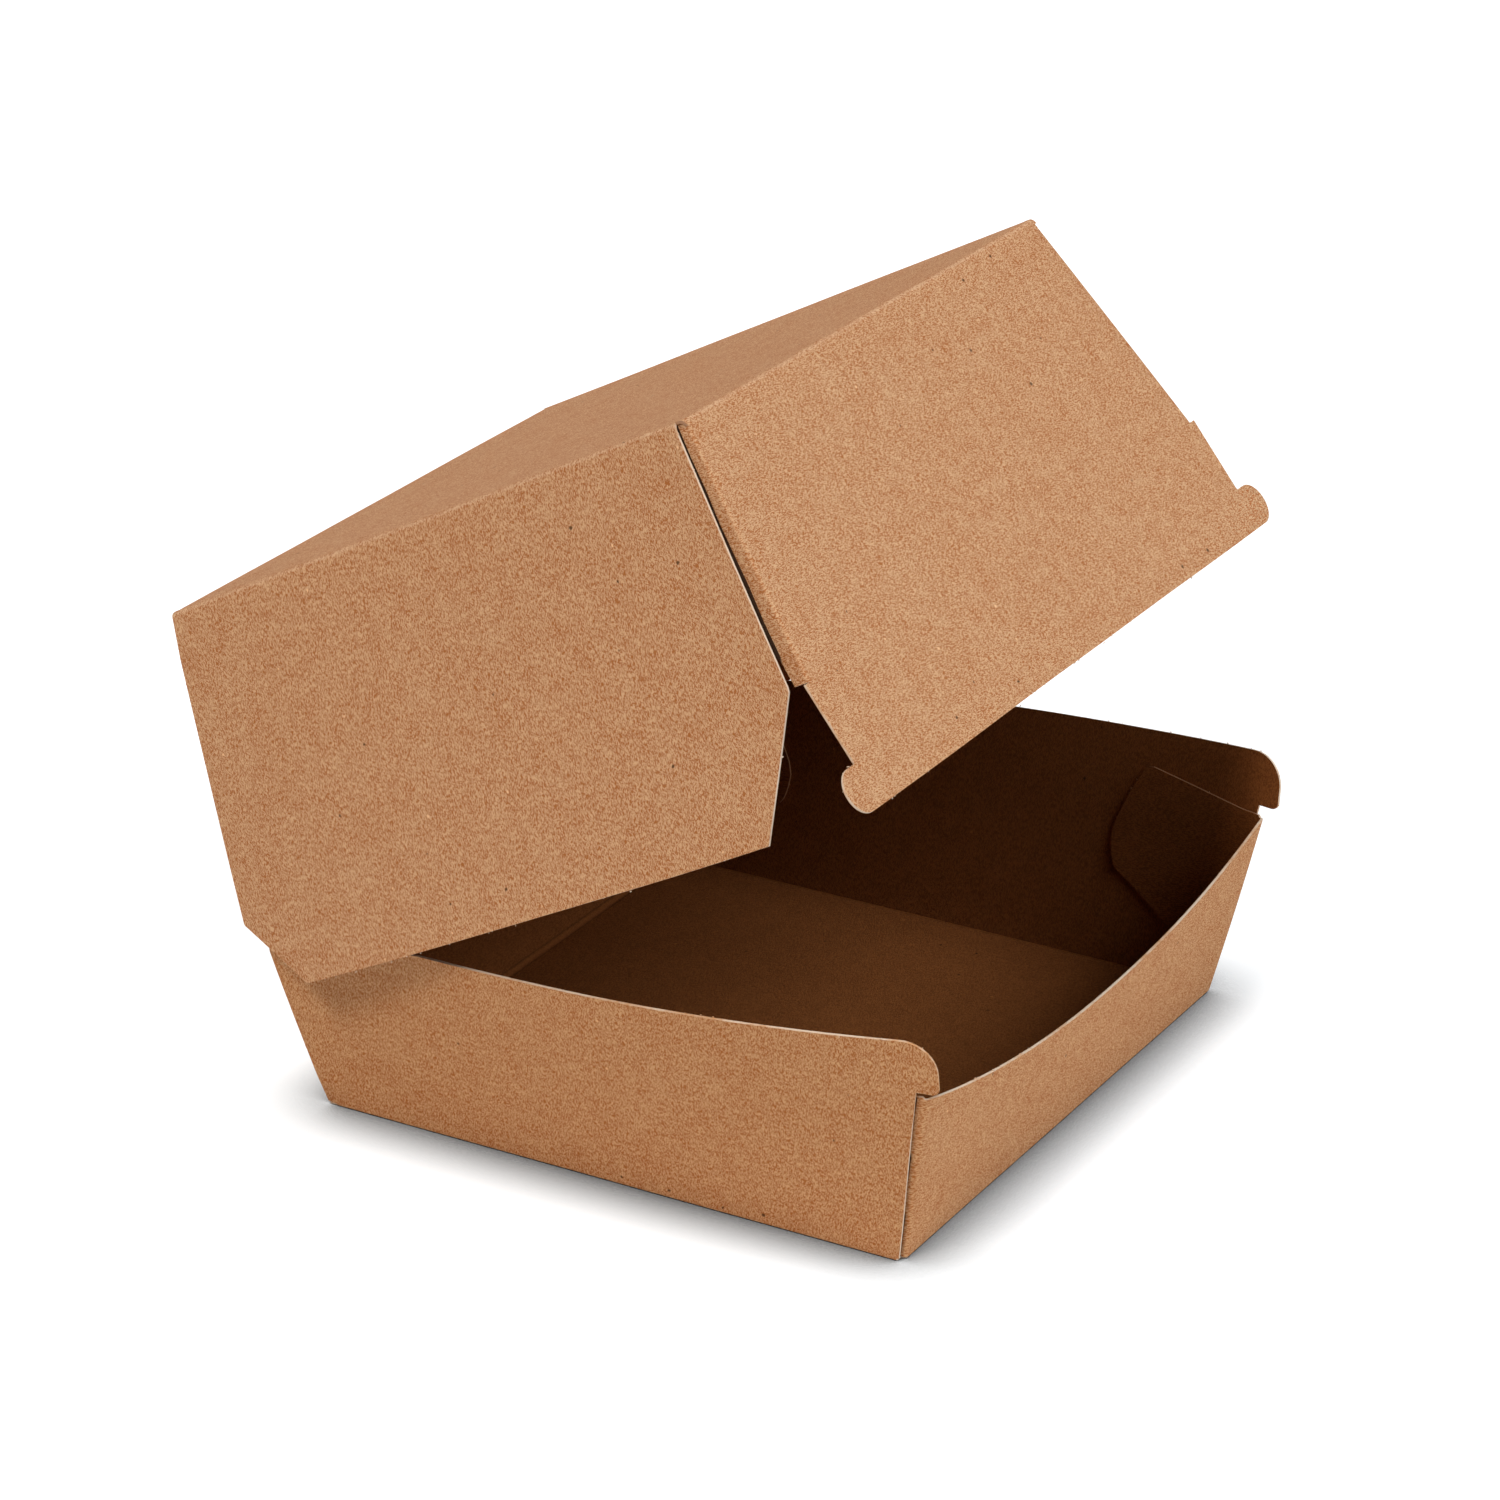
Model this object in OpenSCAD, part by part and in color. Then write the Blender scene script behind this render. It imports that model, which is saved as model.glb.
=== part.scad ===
// Hinged takeaway box folded from one kraft board blank.
// Origin: centre of the tray's underside. Front (lock side) towards -Y, hinge towards +Y, +Z up.
// Every wall is a thin bent sheet: a grid of columns, each running from a lower to an upper edge,
// with the board's thickness laid across it.

/* [Board] */
// thickness of the board
board_t = 0.5; // [0.4:0.05:0.7]
// radius of the raised bead along the lid's crease
crease_bead_r = 0.32; // [0.3:0.01:0.4]
// gap between the crease bead and the lid's back wall
crease_gap = 0.33; // [0.3:0.01:0.5]
// overlap by which a glued flap sinks into the wall that it is glued to
glue_bite = 0.04; // [0.03:0.01:0.06]

/* [Tray floor and walls] */
// width of the floor, side to side
base_w = 104; // [90:1:130]
// depth of the floor, front to back
base_d = 100; // [90:1:120]
// lean of the front wall from upright, degrees
front_lean = 11.4; // [8:0.2:14]
// how far the front wall bows out at the middle of its rim
front_bow = 1.8; // [0:0.2:2.4]
// height of the front wall at its corners
front_h = 30.2; // [26:0.2:31]
// depth of the scoop in the front wall's rim
front_scoop = 7.8; // [2:0.2:10]
// lean of the back wall from upright, degrees
back_lean = 15.2; // [10:0.2:18]
// height of the lid's crease above the table
hinge_h = 26.7; // [24:0.1:29]
// lean of the side walls at their ends, degrees
side_lean = 8.2; // [5:0.2:10]
// how far the side walls bulge at the middle of their top edge
side_bulge = 5.5; // [0:0.1:6]
// height of the side walls halfway along
side_h = 35.9; // [34:0.1:37]
// fall of the side walls' top edge from front to back
side_fall = 6.2; // [3:0.2:7]

/* [Hooks of the tray] */
// how far a hook's notch lies above the front wall's corner
notch_rise = 0.9; // [0.8:0.1:2]
// reach of a hook beyond its notch
hook_reach = 3.5; // [2.6:0.1:4]
// height of a hook above its notch
hook_h = 8.4; // [7:0.1:9]
// radius of a hook's upper corner
hook_round = 5.0; // [4:0.1:6]
// radius of a hook's lower corner
hook_toe_round = 1.1; // [0.6:0.1:1.4]
// how far a side wall's front edge is set back from the front wall's fold at the top
side_setback = 1.4; // [0.8:0.1:2]

/* [Lid] */
// angle by which the lid stands open
lid_open = 27.7; // [0:0.1:90]
// height of the lid from crease to top panel
lid_h = 52.1; // [46:0.1:56]
// lean of the lid's front wall, degrees
lid_front_lean = 10.2; // [8:0.2:12]
// lean of the lid's back wall, degrees
lid_back_lean = 8; // [5:0.2:10]
// lean of the lid's side panels at the front fold, degrees
lid_side_lean_front = 12.7; // [10:0.1:14]
// lean of the lid's side panels at the back fold, degrees
lid_side_lean_back = 7.7; // [6:0.1:10]
// how far the lid's side panels bow out at the middle of their lower edge
lid_side_bow = 3.5; // [1:0.1:4]
// reach of the lid's walls below the crease
lid_skirt = 6.3; // [4:0.1:8]
// clearance between the closed lid and the tray
lid_gap = 0.35; // [0.3:0.05:0.8]
// height of the lid's front folds' lower ends above the crease
lid_fold_end = 13; // [10:0.2:16]
// how far the side panels' cut-away corner reaches back from the fold's end
lid_corner_cut = 10.3; // [6:0.1:14]
// length of the side panels' chamfer at the crease
lid_chamfer = 9.9; // [6:0.1:14]
// height above the crease at which the chamfer meets the back fold
lid_chamfer_rise = 4.9; // [3:0.1:8]
// how far the side panels' front edge is set back from the front wall
lid_edge_setback = 1.6; // [1:0.1:2.4]
// reach of an ear beyond the lid's front wall
ear_reach = 5.4; // [3:0.1:7]
// height of an ear
ear_h = 6.7; // [5:0.1:8]

/* [Glue flaps] */
// length of the tray's glue flaps, as seen on the far wall
flap_len = 25; // [18:0.5:28]
// how far a front flap's upper edge rises along its length, as a share of the front wall's height
flap_rise = 0.12; // [0:0.01:0.14]
// length of the lid's glue flaps
lid_flap_len = 19; // [14:0.5:20]

/* [Hidden] */
kraft = [0.76, 0.56, 0.40];
column_step = 4.6;
sheet_rows = 3;
sliver = 0.05;

// Slopes of the tray's walls, and where the crease and the corners come to lie
front_slope = tan(front_lean);
back_slope = tan(back_lean);
side_slope = tan(side_lean);
front_bow_slope = front_bow / front_h;
bulge_slope = side_bulge / side_h;
bulge_half = base_d * 0.6;
bulge_forward = 0.16;
hinge_y = base_d / 2 + hinge_h * back_slope;
hook_notch_z = front_h + notch_rise;
side_fall_curve = 0.5;

// Distance of a tray side wall from the centre plane
function bulge_at(y) = (1 - pow(y / bulge_half, 2)) * (1 - bulge_forward * y / bulge_half);
function side_x(y, z) = base_w / 2 + z * (side_slope + bulge_slope * bulge_at(y));

// Fold lines of the front and back walls, seen from the side
function front_fold_y(z) = -base_d / 2 - z * front_slope;
function back_fold_y(z) = base_d / 2 + z * back_slope;

// Front wall: leaning, and bowed out a little between its corners
front_half = side_x(front_fold_y(front_h), front_h);
function front_y(x, z) = front_fold_y(z) - z * front_bow_slope * (1 - pow(x / front_half, 2));

// Rim of the front wall: an arc from corner to corner
scoop_r = (pow(front_half, 2) + pow(front_scoop, 2)) / (2 * front_scoop);
function front_rim(x) = front_h - front_scoop + scoop_r - sqrt(pow(scoop_r, 2) - x * x);

// Top edge of a side wall: a slow fall from the hook, then a rounded shoulder down to the crease
shoulder_y = base_d * 0.26;
function side_slow_top(y) = let (u = 2 * y / base_d) side_h - side_fall / 2 * u + side_fall_curve * u * u;
function shoulder_part(y) = max(0, (y - shoulder_y) / (hinge_y - shoulder_y));
function side_top(y) = let (fade = pow(shoulder_part(y), 1.6))
    side_slow_top(y) * (1 - fade) + hinge_h * fade;

// Evenly spaced columns between two places
function spaced(a, b, step) = let (n = max(2, ceil(abs(b - a) / step)))
    [for (i = [0 : n]) a + (b - a) * i / n];
function middle_of(list) = [for (i = [1 : len(list) - 2]) list[i]];

// Half of the board's thickness, measured across a wall that leans by this slope
function across(slope) = board_t / 2 * sqrt(1 + slope * slope);

// A bent sheet. Each column is [place along the wall, lower edge, upper edge].
// front_at and back_at give the two faces' points. Seen from the front face, columns run to the right.
module sheet(columns, front_at, back_at, rows = sheet_rows) {
    last = len(columns) - 1;
    width = rows + 1;
    total = (last + 1) * width;
    function level(c, j) = c[1] + (c[2] - c[1]) * j / rows;
    function near(i, j) = i * width + j;
    function rear(i, j) = total + i * width + j;
    points = concat(
        [for (c = columns, j = [0 : rows]) front_at(c[0], level(c, j))],
        [for (c = columns, j = [0 : rows]) back_at(c[0], level(c, j))]
    );
    skin = [
        for (i = [0 : last - 1], j = [0 : rows - 1])
        each [
            [near(i, j), near(i, j + 1), near(i + 1, j + 1)],
            [near(i, j), near(i + 1, j + 1), near(i + 1, j)],
            [rear(i, j), rear(i + 1, j + 1), rear(i, j + 1)],
            [rear(i, j), rear(i + 1, j), rear(i + 1, j + 1)],
        ]
    ];
    lower_and_upper = [
        for (i = [0 : last - 1])
        each [
            [near(i, 0), near(i + 1, 0), rear(i + 1, 0)],
            [near(i, 0), rear(i + 1, 0), rear(i, 0)],
            [near(i + 1, rows), near(i, rows), rear(i, rows)],
            [near(i + 1, rows), rear(i, rows), rear(i + 1, rows)],
        ]
    ];
    ends = [
        for (j = [0 : rows - 1])
        each [
            [near(0, j + 1), near(0, j), rear(0, j)],
            [near(0, j + 1), rear(0, j), rear(0, j + 1)],
            [near(last, j), near(last, j + 1), rear(last, j + 1)],
            [near(last, j), rear(last, j + 1), rear(last, j)],
        ]
    ];
    polyhedron(points = points, faces = concat(skin, lower_and_upper, ends), convexity = 6);
}

// Both sides of the box
module both_sides() {
    children();
    mirror([1, 0, 0]) children();
}

// A sheet facing +X whose middle surface is mid(y, z), moved inwards by some depth
module side_sheet(columns, mid, slope, inwards = 0, rows = sheet_rows) {
    half = across(slope);
    sheet(
        columns,
        function(y, z) [mid(y, z) + half - inwards, y, z],
        function(y, z) [mid(y, z) - half - inwards, y, z],
        rows
    );
}

// Side wall's front edge, set back from the fold, least at its foot, and the hook above it
foot_setback = side_setback / 4;
function side_front_y(z) = front_fold_y(z) + foot_setback + (side_setback - foot_setback) * z / front_h;
hook_notch_y = side_front_y(hook_notch_z);
hook_tip_y = hook_notch_y - hook_reach;
hook_top_y = hook_tip_y + hook_round;
hook_top_z = side_top(hook_top_y);
hook_round_z = hook_top_z - hook_round;
hook_toe_z = hook_top_z - hook_h;

// One column of the hook at place y: lower edge with the toe's rounding, upper edge with the big rounding
function hook_low(y) = let (in_toe = max(0, hook_tip_y + hook_toe_round - y))
    hook_toe_z + hook_toe_round - sqrt(max(0, pow(hook_toe_round, 2) - pow(in_toe, 2)));
function hook_high(y) = let (in_round = hook_top_y - y)
    hook_round_z + sqrt(max(0, pow(hook_round, 2) - pow(in_round, 2)));
hook_columns = [
    for (a = [90 : -9 : 0])
    let (y = hook_top_y - hook_round * sin(a))
    if (y < hook_notch_y - 2 * sliver) [y, hook_low(y), hook_high(y)]
];
function wall_high(y) = y < hook_top_y ? hook_high(y) : side_top(y);
function side_low(y) =
    y < side_front_y(0) ? (side_front_y(0) - y) / (side_front_y(0) - side_front_y(front_h)) * front_h
    : y > base_d / 2 ? (y - base_d / 2) / back_slope
    : 0;
side_columns = concat(
    hook_columns,
    [[hook_notch_y - sliver, hook_toe_z, wall_high(hook_notch_y)]],
    [for (y = spaced(hook_notch_y, side_front_y(0), 1.5)) [y, side_low(y), wall_high(y)]],
    [for (y = middle_of(spaced(side_front_y(0), base_d / 2, column_step))) [y, 0, side_top(y)]],
    [for (y = spaced(base_d / 2, hinge_y - 4 * sliver, 1.8)) [y, side_low(y), side_top(y)]]
);

module tray_side_wall() {
    side_sheet(side_columns, function(y, z) side_x(y, z), side_slope + bulge_slope / 2);
}

// Outline of a glue flap over its length, from fold (0) to end (1), in parts of the height of its fold:
// the upper edge rises a little, the lower edge runs up from the fold's foot, and the end is rounded
flap_parts = [0, 0.14, 0.28, 0.42, 0.56, 0.7, 0.8, 0.86, 0.91, 0.95, 0.98, 1];
flap_end = 0.86;
flap_tip = 0.755;
function in_flap_end(part) = max(0, part - flap_end) / (1 - flap_end);
function flap_high(part, rise) = let (fade = pow(in_flap_end(part), 2.5))
    (0.98 + rise * min(part, flap_end)) * (1 - fade) + flap_tip * fade;
function flap_low(part) = let (p = min(part, flap_end))
    0.02 + 0.7 * p - 0.17 * p * p + 0.2 * pow(in_flap_end(part), 2);

// A glue flap lying against the inside of a side wall. fold_y(z) is the fold that it turns in from,
// way is +1 for a flap that runs to the back and -1 for one that runs to the front. Its fold reaches from
// foot to head
module glue_flap(fold_y, way, len, foot, head, rise, mid, slope) {
    half = across(slope);
    inset = board_t - glue_bite;
    order = way > 0 ? flap_parts : [for (i = [len(flap_parts) - 1 : -1 : 0]) flap_parts[i]];
    function at_y(part, z) = fold_y(z) - way * board_t / 4 + way * part * len;
    height = head - foot;
    sheet(
        [for (part = order) [part, foot + height * flap_low(part), foot + height * flap_high(part, rise)]],
        function(part, z) [mid(at_y(part, z), z) - inset + half, at_y(part, z), z],
        function(part, z) [mid(at_y(part, z), z) - inset - half, at_y(part, z), z]
    );
}

// A wall across the box, from side to side. Its middle surface is wall_y(x, z), it reaches half_at(z) to
// each side, and outwards is -1 for a front wall and +1 for a back wall
module cross_wall(parts, low, high, wall_y, half_at, slope, outwards) {
    half = across(slope);
    order = outwards < 0 ? parts : [for (i = [len(parts) - 1 : -1 : 0]) parts[i]];
    sheet(
        [for (p = order) [p, low(p), high(p)]],
        function(p, z) [p * half_at(z), wall_y(p * half_at(z), z) + outwards * half, z],
        function(p, z) [p * half_at(z), wall_y(p * half_at(z), z) - outwards * half, z]
    );
}

// Half of a front or back wall's width: it reaches into the outer skin of its own folded flap
function wall_reach(x) = x - (board_t - glue_bite) + board_t * 0.4;

module tray_front_wall() {
    cross_wall(
        spaced(-1, 1, 0.1),
        function(p) 0,
        function(p) front_rim(p * front_half),
        function(x, z) front_y(x, z),
        function(z) wall_reach(side_x(front_fold_y(z), z)),
        front_slope,
        -1
    );
}

module tray_back_wall() {
    cross_wall(
        spaced(-1, 1, 0.25),
        function(p) 0,
        function(p) hinge_h,
        function(x, z) back_fold_y(z),
        function(z) wall_reach(side_x(back_fold_y(z), z)),
        back_slope,
        1
    );
}

module tray_flaps() {
    mid = function(y, z) side_x(y, z);
    glue_flap(function(z) front_fold_y(z), 1, flap_len, 0, front_h, flap_rise, mid, side_slope);
    glue_flap(function(z) back_fold_y(z), -1, flap_len, 0, hinge_h, 0, mid, side_slope);
}

// The tray: floor, four walls, four glued flaps and the crease bead, all of one board
module tray() {
    color(kraft) {
        translate([-base_w / 2, -base_d / 2, 0]) cube([base_w, base_d, board_t]);
        both_sides() {
            tray_side_wall();
            tray_flaps();
        }
        tray_front_wall();
        tray_back_wall();
        bead_len = 2 * wall_reach(side_x(hinge_y, hinge_h));
        translate([0, hinge_y, hinge_h]) rotate([0, 90, 0])
            cylinder(r = crease_bead_r, h = bead_len, center = true, $fn = 32);
    }
}

// Lid, in its own frame: closed, with its origin on the crease's axis
lid_front_slope = tan(lid_front_lean);
lid_back_slope = tan(lid_back_lean);
lid_side_slope_front = tan(lid_side_lean_front);
lid_side_slope_back = tan(lid_side_lean_back);
lid_bow_slope = lid_side_bow / (lid_h + lid_skirt);

// The closed lid's front wall passes just outside the hooks
hook_tip_up = hook_round_z - hinge_h;
swing_room = 0.1;
hook_tip_out = hook_tip_y - hinge_y - lid_gap - swing_room - across(lid_front_slope);
function lid_front_y(z) = hook_tip_out + (z - hook_tip_up) * lid_front_slope;
function lid_back_y(z) = -z * lid_back_slope;
lid_depth = -lid_front_y(0);

// Slope of a side panel: it grows from the back fold to the front fold, with a bow between
function lid_slope_at(y) = let (s = min(1.05, max(-0.02, -y / lid_depth)))
    lid_side_slope_back + (lid_side_slope_front - lid_side_slope_back) * s + 4 * lid_bow_slope * s * (1 - s);

// The top panel is as wide as the closed lid needs to slip down over the tray's bulging walls
function in_lid_flap(y) = y - hinge_y < lid_front_y(lid_fold_end) + lid_flap_len + 1;
lid_top_half = max([
    for (y = spaced(hook_top_y, hinge_y - lid_flap_len * 0.6, 3))
    let (up = side_top(y) - hinge_h)
    side_x(y, side_top(y)) + 2 * across(lid_side_slope_front) + lid_gap
        + (in_lid_flap(y) ? board_t - glue_bite : 0) - (lid_h - up) * lid_slope_at(y - hinge_y)
]);
function lid_x(y, z) = lid_top_half + (lid_h - z) * lid_slope_at(y);

// Outline of a side panel, from its front tip to its back fold
lid_crown = lid_h + board_t / 2;
side_panel_shortfall = 0.3;
lid_side_low = side_panel_shortfall - lid_skirt;
lid_edge_taper = 0.02;
function lid_side_front_y(z) = lid_front_y(z) + lid_edge_setback + (lid_h - z) * lid_edge_taper;
lid_tip_y = lid_side_front_y(lid_fold_end);
lid_top_front_y = lid_side_front_y(lid_crown);
lid_chamfer_end_y = lid_back_y(lid_chamfer_rise);
function lid_panel_low(y) =
    y < lid_tip_y + lid_corner_cut ?
        lid_fold_end + (lid_side_low - lid_fold_end) * (y - lid_tip_y) / lid_corner_cut
    : y > -lid_chamfer ?
        let (in_chamfer = (y + lid_chamfer) / (lid_chamfer_end_y + lid_chamfer))
        lid_side_low + (lid_chamfer_rise - lid_side_low) * in_chamfer
    : lid_side_low;
function lid_panel_high(y) =
    y < lid_top_front_y ?
        lid_fold_end + (lid_crown - lid_fold_end) * (y - lid_tip_y) / (lid_top_front_y - lid_tip_y)
    : y > lid_back_y(lid_crown) ? -y / lid_back_slope
    : lid_crown;
lid_side_columns = [
    for (y = concat(
        spaced(lid_tip_y + 2 * sliver, lid_top_front_y, 1.5),
        middle_of(spaced(lid_top_front_y, lid_tip_y + lid_corner_cut, 2)),
        middle_of(spaced(lid_tip_y + lid_corner_cut, -lid_chamfer, column_step)),
        spaced(-lid_chamfer, lid_back_y(lid_crown), 1.5),
        spaced(lid_back_y(lid_crown) + sliver, lid_chamfer_end_y - sliver, 1.5)
    ))
    [y, lid_panel_low(y), lid_panel_high(y)]
];

module lid_side_panel() {
    side_sheet(lid_side_columns, function(y, z) lid_x(y, z), lid_side_slope_front);
}

// Front wall of the lid: straight folds at the top, free edges below them, and a rounded ear at each end
lid_front_half = lid_x(lid_front_y(lid_fold_end), lid_fold_end);
lid_free_half = lid_front_half - board_t;
ear_round = ear_h / 2;
ear_z = ear_round - lid_skirt;
ear_centre_x = lid_free_half + ear_reach - ear_round;
ear_columns = concat(
    [for (x = middle_of(spaced(lid_free_half, ear_centre_x, 1))) [x, -lid_skirt, -lid_skirt + ear_h]],
    [
        for (a = [0 : 9 : 81])
        let (x = ear_centre_x + ear_round * sin(a), rise = ear_round * cos(a))
        [x, ear_z - rise, ear_z + rise]
    ]
);
function lid_front_high(x) = min(lid_crown, lid_crown - (abs(x) - lid_top_half) / lid_side_slope_front);
right_half_columns = concat(
    [for (x = spaced(0, lid_top_half, 12)) [x, -lid_skirt, lid_crown]],
    [for (x = middle_of(spaced(lid_top_half, lid_free_half, 2))) [x, -lid_skirt, lid_front_high(x)]],
    [[lid_free_half, -lid_skirt, lid_fold_end]],
    [[lid_free_half + sliver, -lid_skirt, -lid_skirt + ear_h]],
    ear_columns
);
left_half_columns = [
    for (i = [len(right_half_columns) - 1 : -1 : 1])
    let (c = right_half_columns[i])
    [-c[0], c[1], c[2]]
];

module lid_front_wall() {
    half = across(lid_front_slope);
    sheet(
        concat(left_half_columns, right_half_columns),
        function(x, z) [x, lid_front_y(z) - half, z],
        function(x, z) [x, lid_front_y(z) + half, z],
        2
    );
}

// Back wall of the lid, chamfered at its lower corners, clear of the crease bead
lid_crease_edge = crease_bead_r + crease_gap;
crease_half = side_x(hinge_y, hinge_h);
lid_back_half = lid_x(lid_chamfer_end_y, lid_chamfer_rise);
crease_share = crease_half / lid_back_half;
function lid_back_low(p) =
    abs(p) <= crease_share ? lid_crease_edge
    : lid_crease_edge + (lid_chamfer_rise - lid_crease_edge) * (abs(p) - crease_share) / (1 - crease_share);

module lid_back_wall() {
    cross_wall(
        concat([-1], spaced(-crease_share, crease_share, 0.25), [1]),
        function(p) lid_back_low(p),
        function(p) lid_crown,
        function(x, z) lid_back_y(z),
        function(z) wall_reach(lid_x(lid_back_y(z), z)),
        lid_back_slope,
        1
    );
}

module lid_flaps() {
    mid = function(y, z) lid_x(y, z);
    slope = lid_side_slope_front;
    glue_flap(function(z) lid_front_y(z), 1, lid_flap_len, lid_fold_end, lid_h, 0, mid, slope);
    glue_flap(function(z) lid_back_y(z), -1, lid_flap_len, lid_chamfer_rise, lid_h, 0, mid, slope);
}

module lid_top_panel() {
    half = lid_top_half + across(lid_side_slope_front);
    front = lid_front_y(lid_h) - across(lid_front_slope);
    back = lid_back_y(lid_h) + across(lid_back_slope);
    translate([-half, front, lid_h - board_t / 2]) cube([2 * half, back - front, board_t]);
}

// The lid: top panel, four walls and four glued flaps, turned open about the crease
module lid() {
    color(kraft)
    translate([0, hinge_y, hinge_h]) rotate([-lid_open, 0, 0]) {
        lid_top_panel();
        both_sides() {
            lid_side_panel();
            lid_flaps();
        }
        lid_front_wall();
        lid_back_wall();
    }
}

tray();
lid();
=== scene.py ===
"""A hinged takeaway box of brown kraft board, standing open.

The box is one folded sheet. Its shape is laid out here as bent sheets without thickness, each a grid of
points, which share their points along the folds. The board's thickness is then laid on both sides.
Lengths are in metres and angles in radians.
"""

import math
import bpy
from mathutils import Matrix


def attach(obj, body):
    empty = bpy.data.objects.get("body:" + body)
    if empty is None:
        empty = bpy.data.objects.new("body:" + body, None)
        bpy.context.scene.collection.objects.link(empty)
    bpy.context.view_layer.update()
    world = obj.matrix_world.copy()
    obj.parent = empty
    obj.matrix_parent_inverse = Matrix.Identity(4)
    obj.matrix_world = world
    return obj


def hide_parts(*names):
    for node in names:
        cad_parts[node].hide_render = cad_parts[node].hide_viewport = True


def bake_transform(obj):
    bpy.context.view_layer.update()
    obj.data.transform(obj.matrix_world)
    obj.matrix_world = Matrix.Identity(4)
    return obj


bl_info = {
    "name": "Kraft takeaway box",
    "version": (1, 0, 0),
    "blender": (4, 5, 0),
    "location": "3D View > Sidebar > Takeaway box",
    "description": "Builds a hinged takeaway box of kraft board, standing open, and its stage",
    "category": "Object",
}

import bmesh
import bpy
import numpy as np
from bpy.props import FloatProperty, FloatVectorProperty, IntProperty, PointerProperty
from bpy.types import Operator, Panel, PropertyGroup
from mathutils import Matrix, Vector, noise

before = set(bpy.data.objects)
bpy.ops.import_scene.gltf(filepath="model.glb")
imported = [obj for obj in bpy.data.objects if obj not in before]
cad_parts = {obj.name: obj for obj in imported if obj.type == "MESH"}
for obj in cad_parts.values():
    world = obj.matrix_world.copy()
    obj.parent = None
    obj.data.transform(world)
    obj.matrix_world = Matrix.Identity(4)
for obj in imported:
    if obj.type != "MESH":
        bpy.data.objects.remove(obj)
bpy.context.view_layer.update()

# The values that a point of a sheet holds: its place, its place on the flat blank, and how near a fold it is,
# below zero where it is glued or tucked in, which marks painted shade: a dark outer face and darker cut edges
X, Y, Z, FLAT_U, FLAT_V, FOLD = range(6)
# Fold values that mark painted shade: a near-black outer face on glued parts, fading out by the limit, and a darker
# cut edge alone on tucked parts
HIDDEN_SHADE, HIDDEN_SHADE_LIMIT, TUCKED_EDGE_SHADE = -1.0, -0.8, -0.7

# The places of the three finishes in each board's list of materials
OUTER, INNER, EDGE = range(3)
SHARP_ANGLE, WORN_ANGLE = math.radians(38), math.radians(60)

# Distances between the columns of a sheet, and between those of a cross wall as a share of its half width
COARSE_STEP, MIDDLE_STEP, EDGE_STEP, CURVE_STEP, CORNER_STEP = 0.0035, 0.002, 0.0015, 0.0012, 0.0004
ACROSS_STEP = 0.06
# How far a sheet stops short of a line where it would end in a point
TIP_ROOM = 0.0002
# Degrees between the points of a rounded corner
ARC_STEP = 6


def length(name, description, default):
    return FloatProperty(name=name, description=description, default=default, unit="LENGTH", precision=5)


def angle(name, description, degrees):
    return FloatProperty(name=name, description=description, default=math.radians(degrees), subtype="ANGLE")


def share(name, description, default):
    return FloatProperty(name=name, description=description, default=default, min=0.0, max=1.0, subtype="FACTOR")


def amount(name, description, default):
    return FloatProperty(name=name, description=description, default=default, min=0.0)


def colour(name, description, default):
    return FloatVectorProperty(
        name=name, description=description, default=default, size=3, min=0.0, max=1.0, subtype="COLOR"
    )


class BoardSizes(PropertyGroup):
    """The board and how it folds"""

    thickness: length("Thickness", "Thickness of the board", 0.0004)
    fold_run: length("Fold run", "How far from a fold's line the board starts to bend", 0.00036)
    wide_run: length("Wide fold run", "The same for the wider fold between the floor and the back wall", 0.0011)
    top_run: length("Top fold run", "The same for the rounder folds round the lid's top panel", 0.0008)
    lead: length("Lead", "Flat strip between a fold and the panel that it leaves", 0.0004)
    seam_room: length("Seam room", "Space between a glued flap and the wall that it is glued to", 0.00002)
    wave: length("Wave", "How far the panels wander from their true surface", 0.00014)
    wave_length: length("Wave length", "Distance over which the panels wander", 0.03)
    wave_seed: IntProperty(name="Wave seed", description="Seed for the panels' waves", default=4)
    worn: length("Worn edge", "Width of the worn band along a cut edge", 0.00013)
    merge: length("Merge distance", "Distance below which two points are one", 0.00002)


class TraySizes(PropertyGroup):
    """The tray: floor, walls, hooks and glue flaps"""

    base_w: length("Floor width", "Width of the floor, side to side", 0.104)
    base_d: length("Floor depth", "Depth of the floor, front to back", 0.100)
    front_lean: angle("Front lean", "Lean of the front wall from upright", 11.4)
    front_bow: length("Front bow", "How far the front wall bows out at the middle of its rim", 0.0018)
    front_h: length("Front height", "Height of the front wall at its corners", 0.0302)
    front_scoop: length("Front scoop", "Depth of the scoop in the front wall's rim", 0.0078)
    back_lean: angle("Back lean", "Lean of the back wall from upright", 15.2)
    hinge_h: length("Crease height", "Height of the lid's crease above the table", 0.0267)
    side_lean: angle("Side lean", "Lean of the side walls at their ends", 8.2)
    side_bulge: length("Side bulge", "How far the side walls bulge at the middle of their top edge", 0.0055)
    side_h: length("Side height", "Height of the side walls halfway along", 0.0359)
    side_fall: length("Side fall", "Fall of the side walls' top edge from front to back", 0.0062)
    hook_reach: length("Hook reach", "Reach of a hook beyond its notch", 0.0035)
    hook_h: length("Hook height", "Height of a hook above its notch", 0.0084)
    hook_round: length("Hook rounding", "Radius of a hook's upper corner", 0.005)
    hook_toe_round: length("Toe rounding", "Radius of a hook's lower corner", 0.0011)
    notch_rise: length("Notch rise", "How far the notch lies above the front wall's corner", 0.0009)
    side_setback: length("Side setback", "Setback of a side wall's front edge at the top", 0.0014)
    flap_len: length("Flap length", "Length of the tray's glue flaps", 0.025)
    flap_rise: share("Flap rise", "Rise of a front flap's upper edge, as a share of the front wall's height", 0.12)
    flap_spring: length("Flap spring", "How far a side wall's front edge stands off from its flap", 0.0005)


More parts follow.
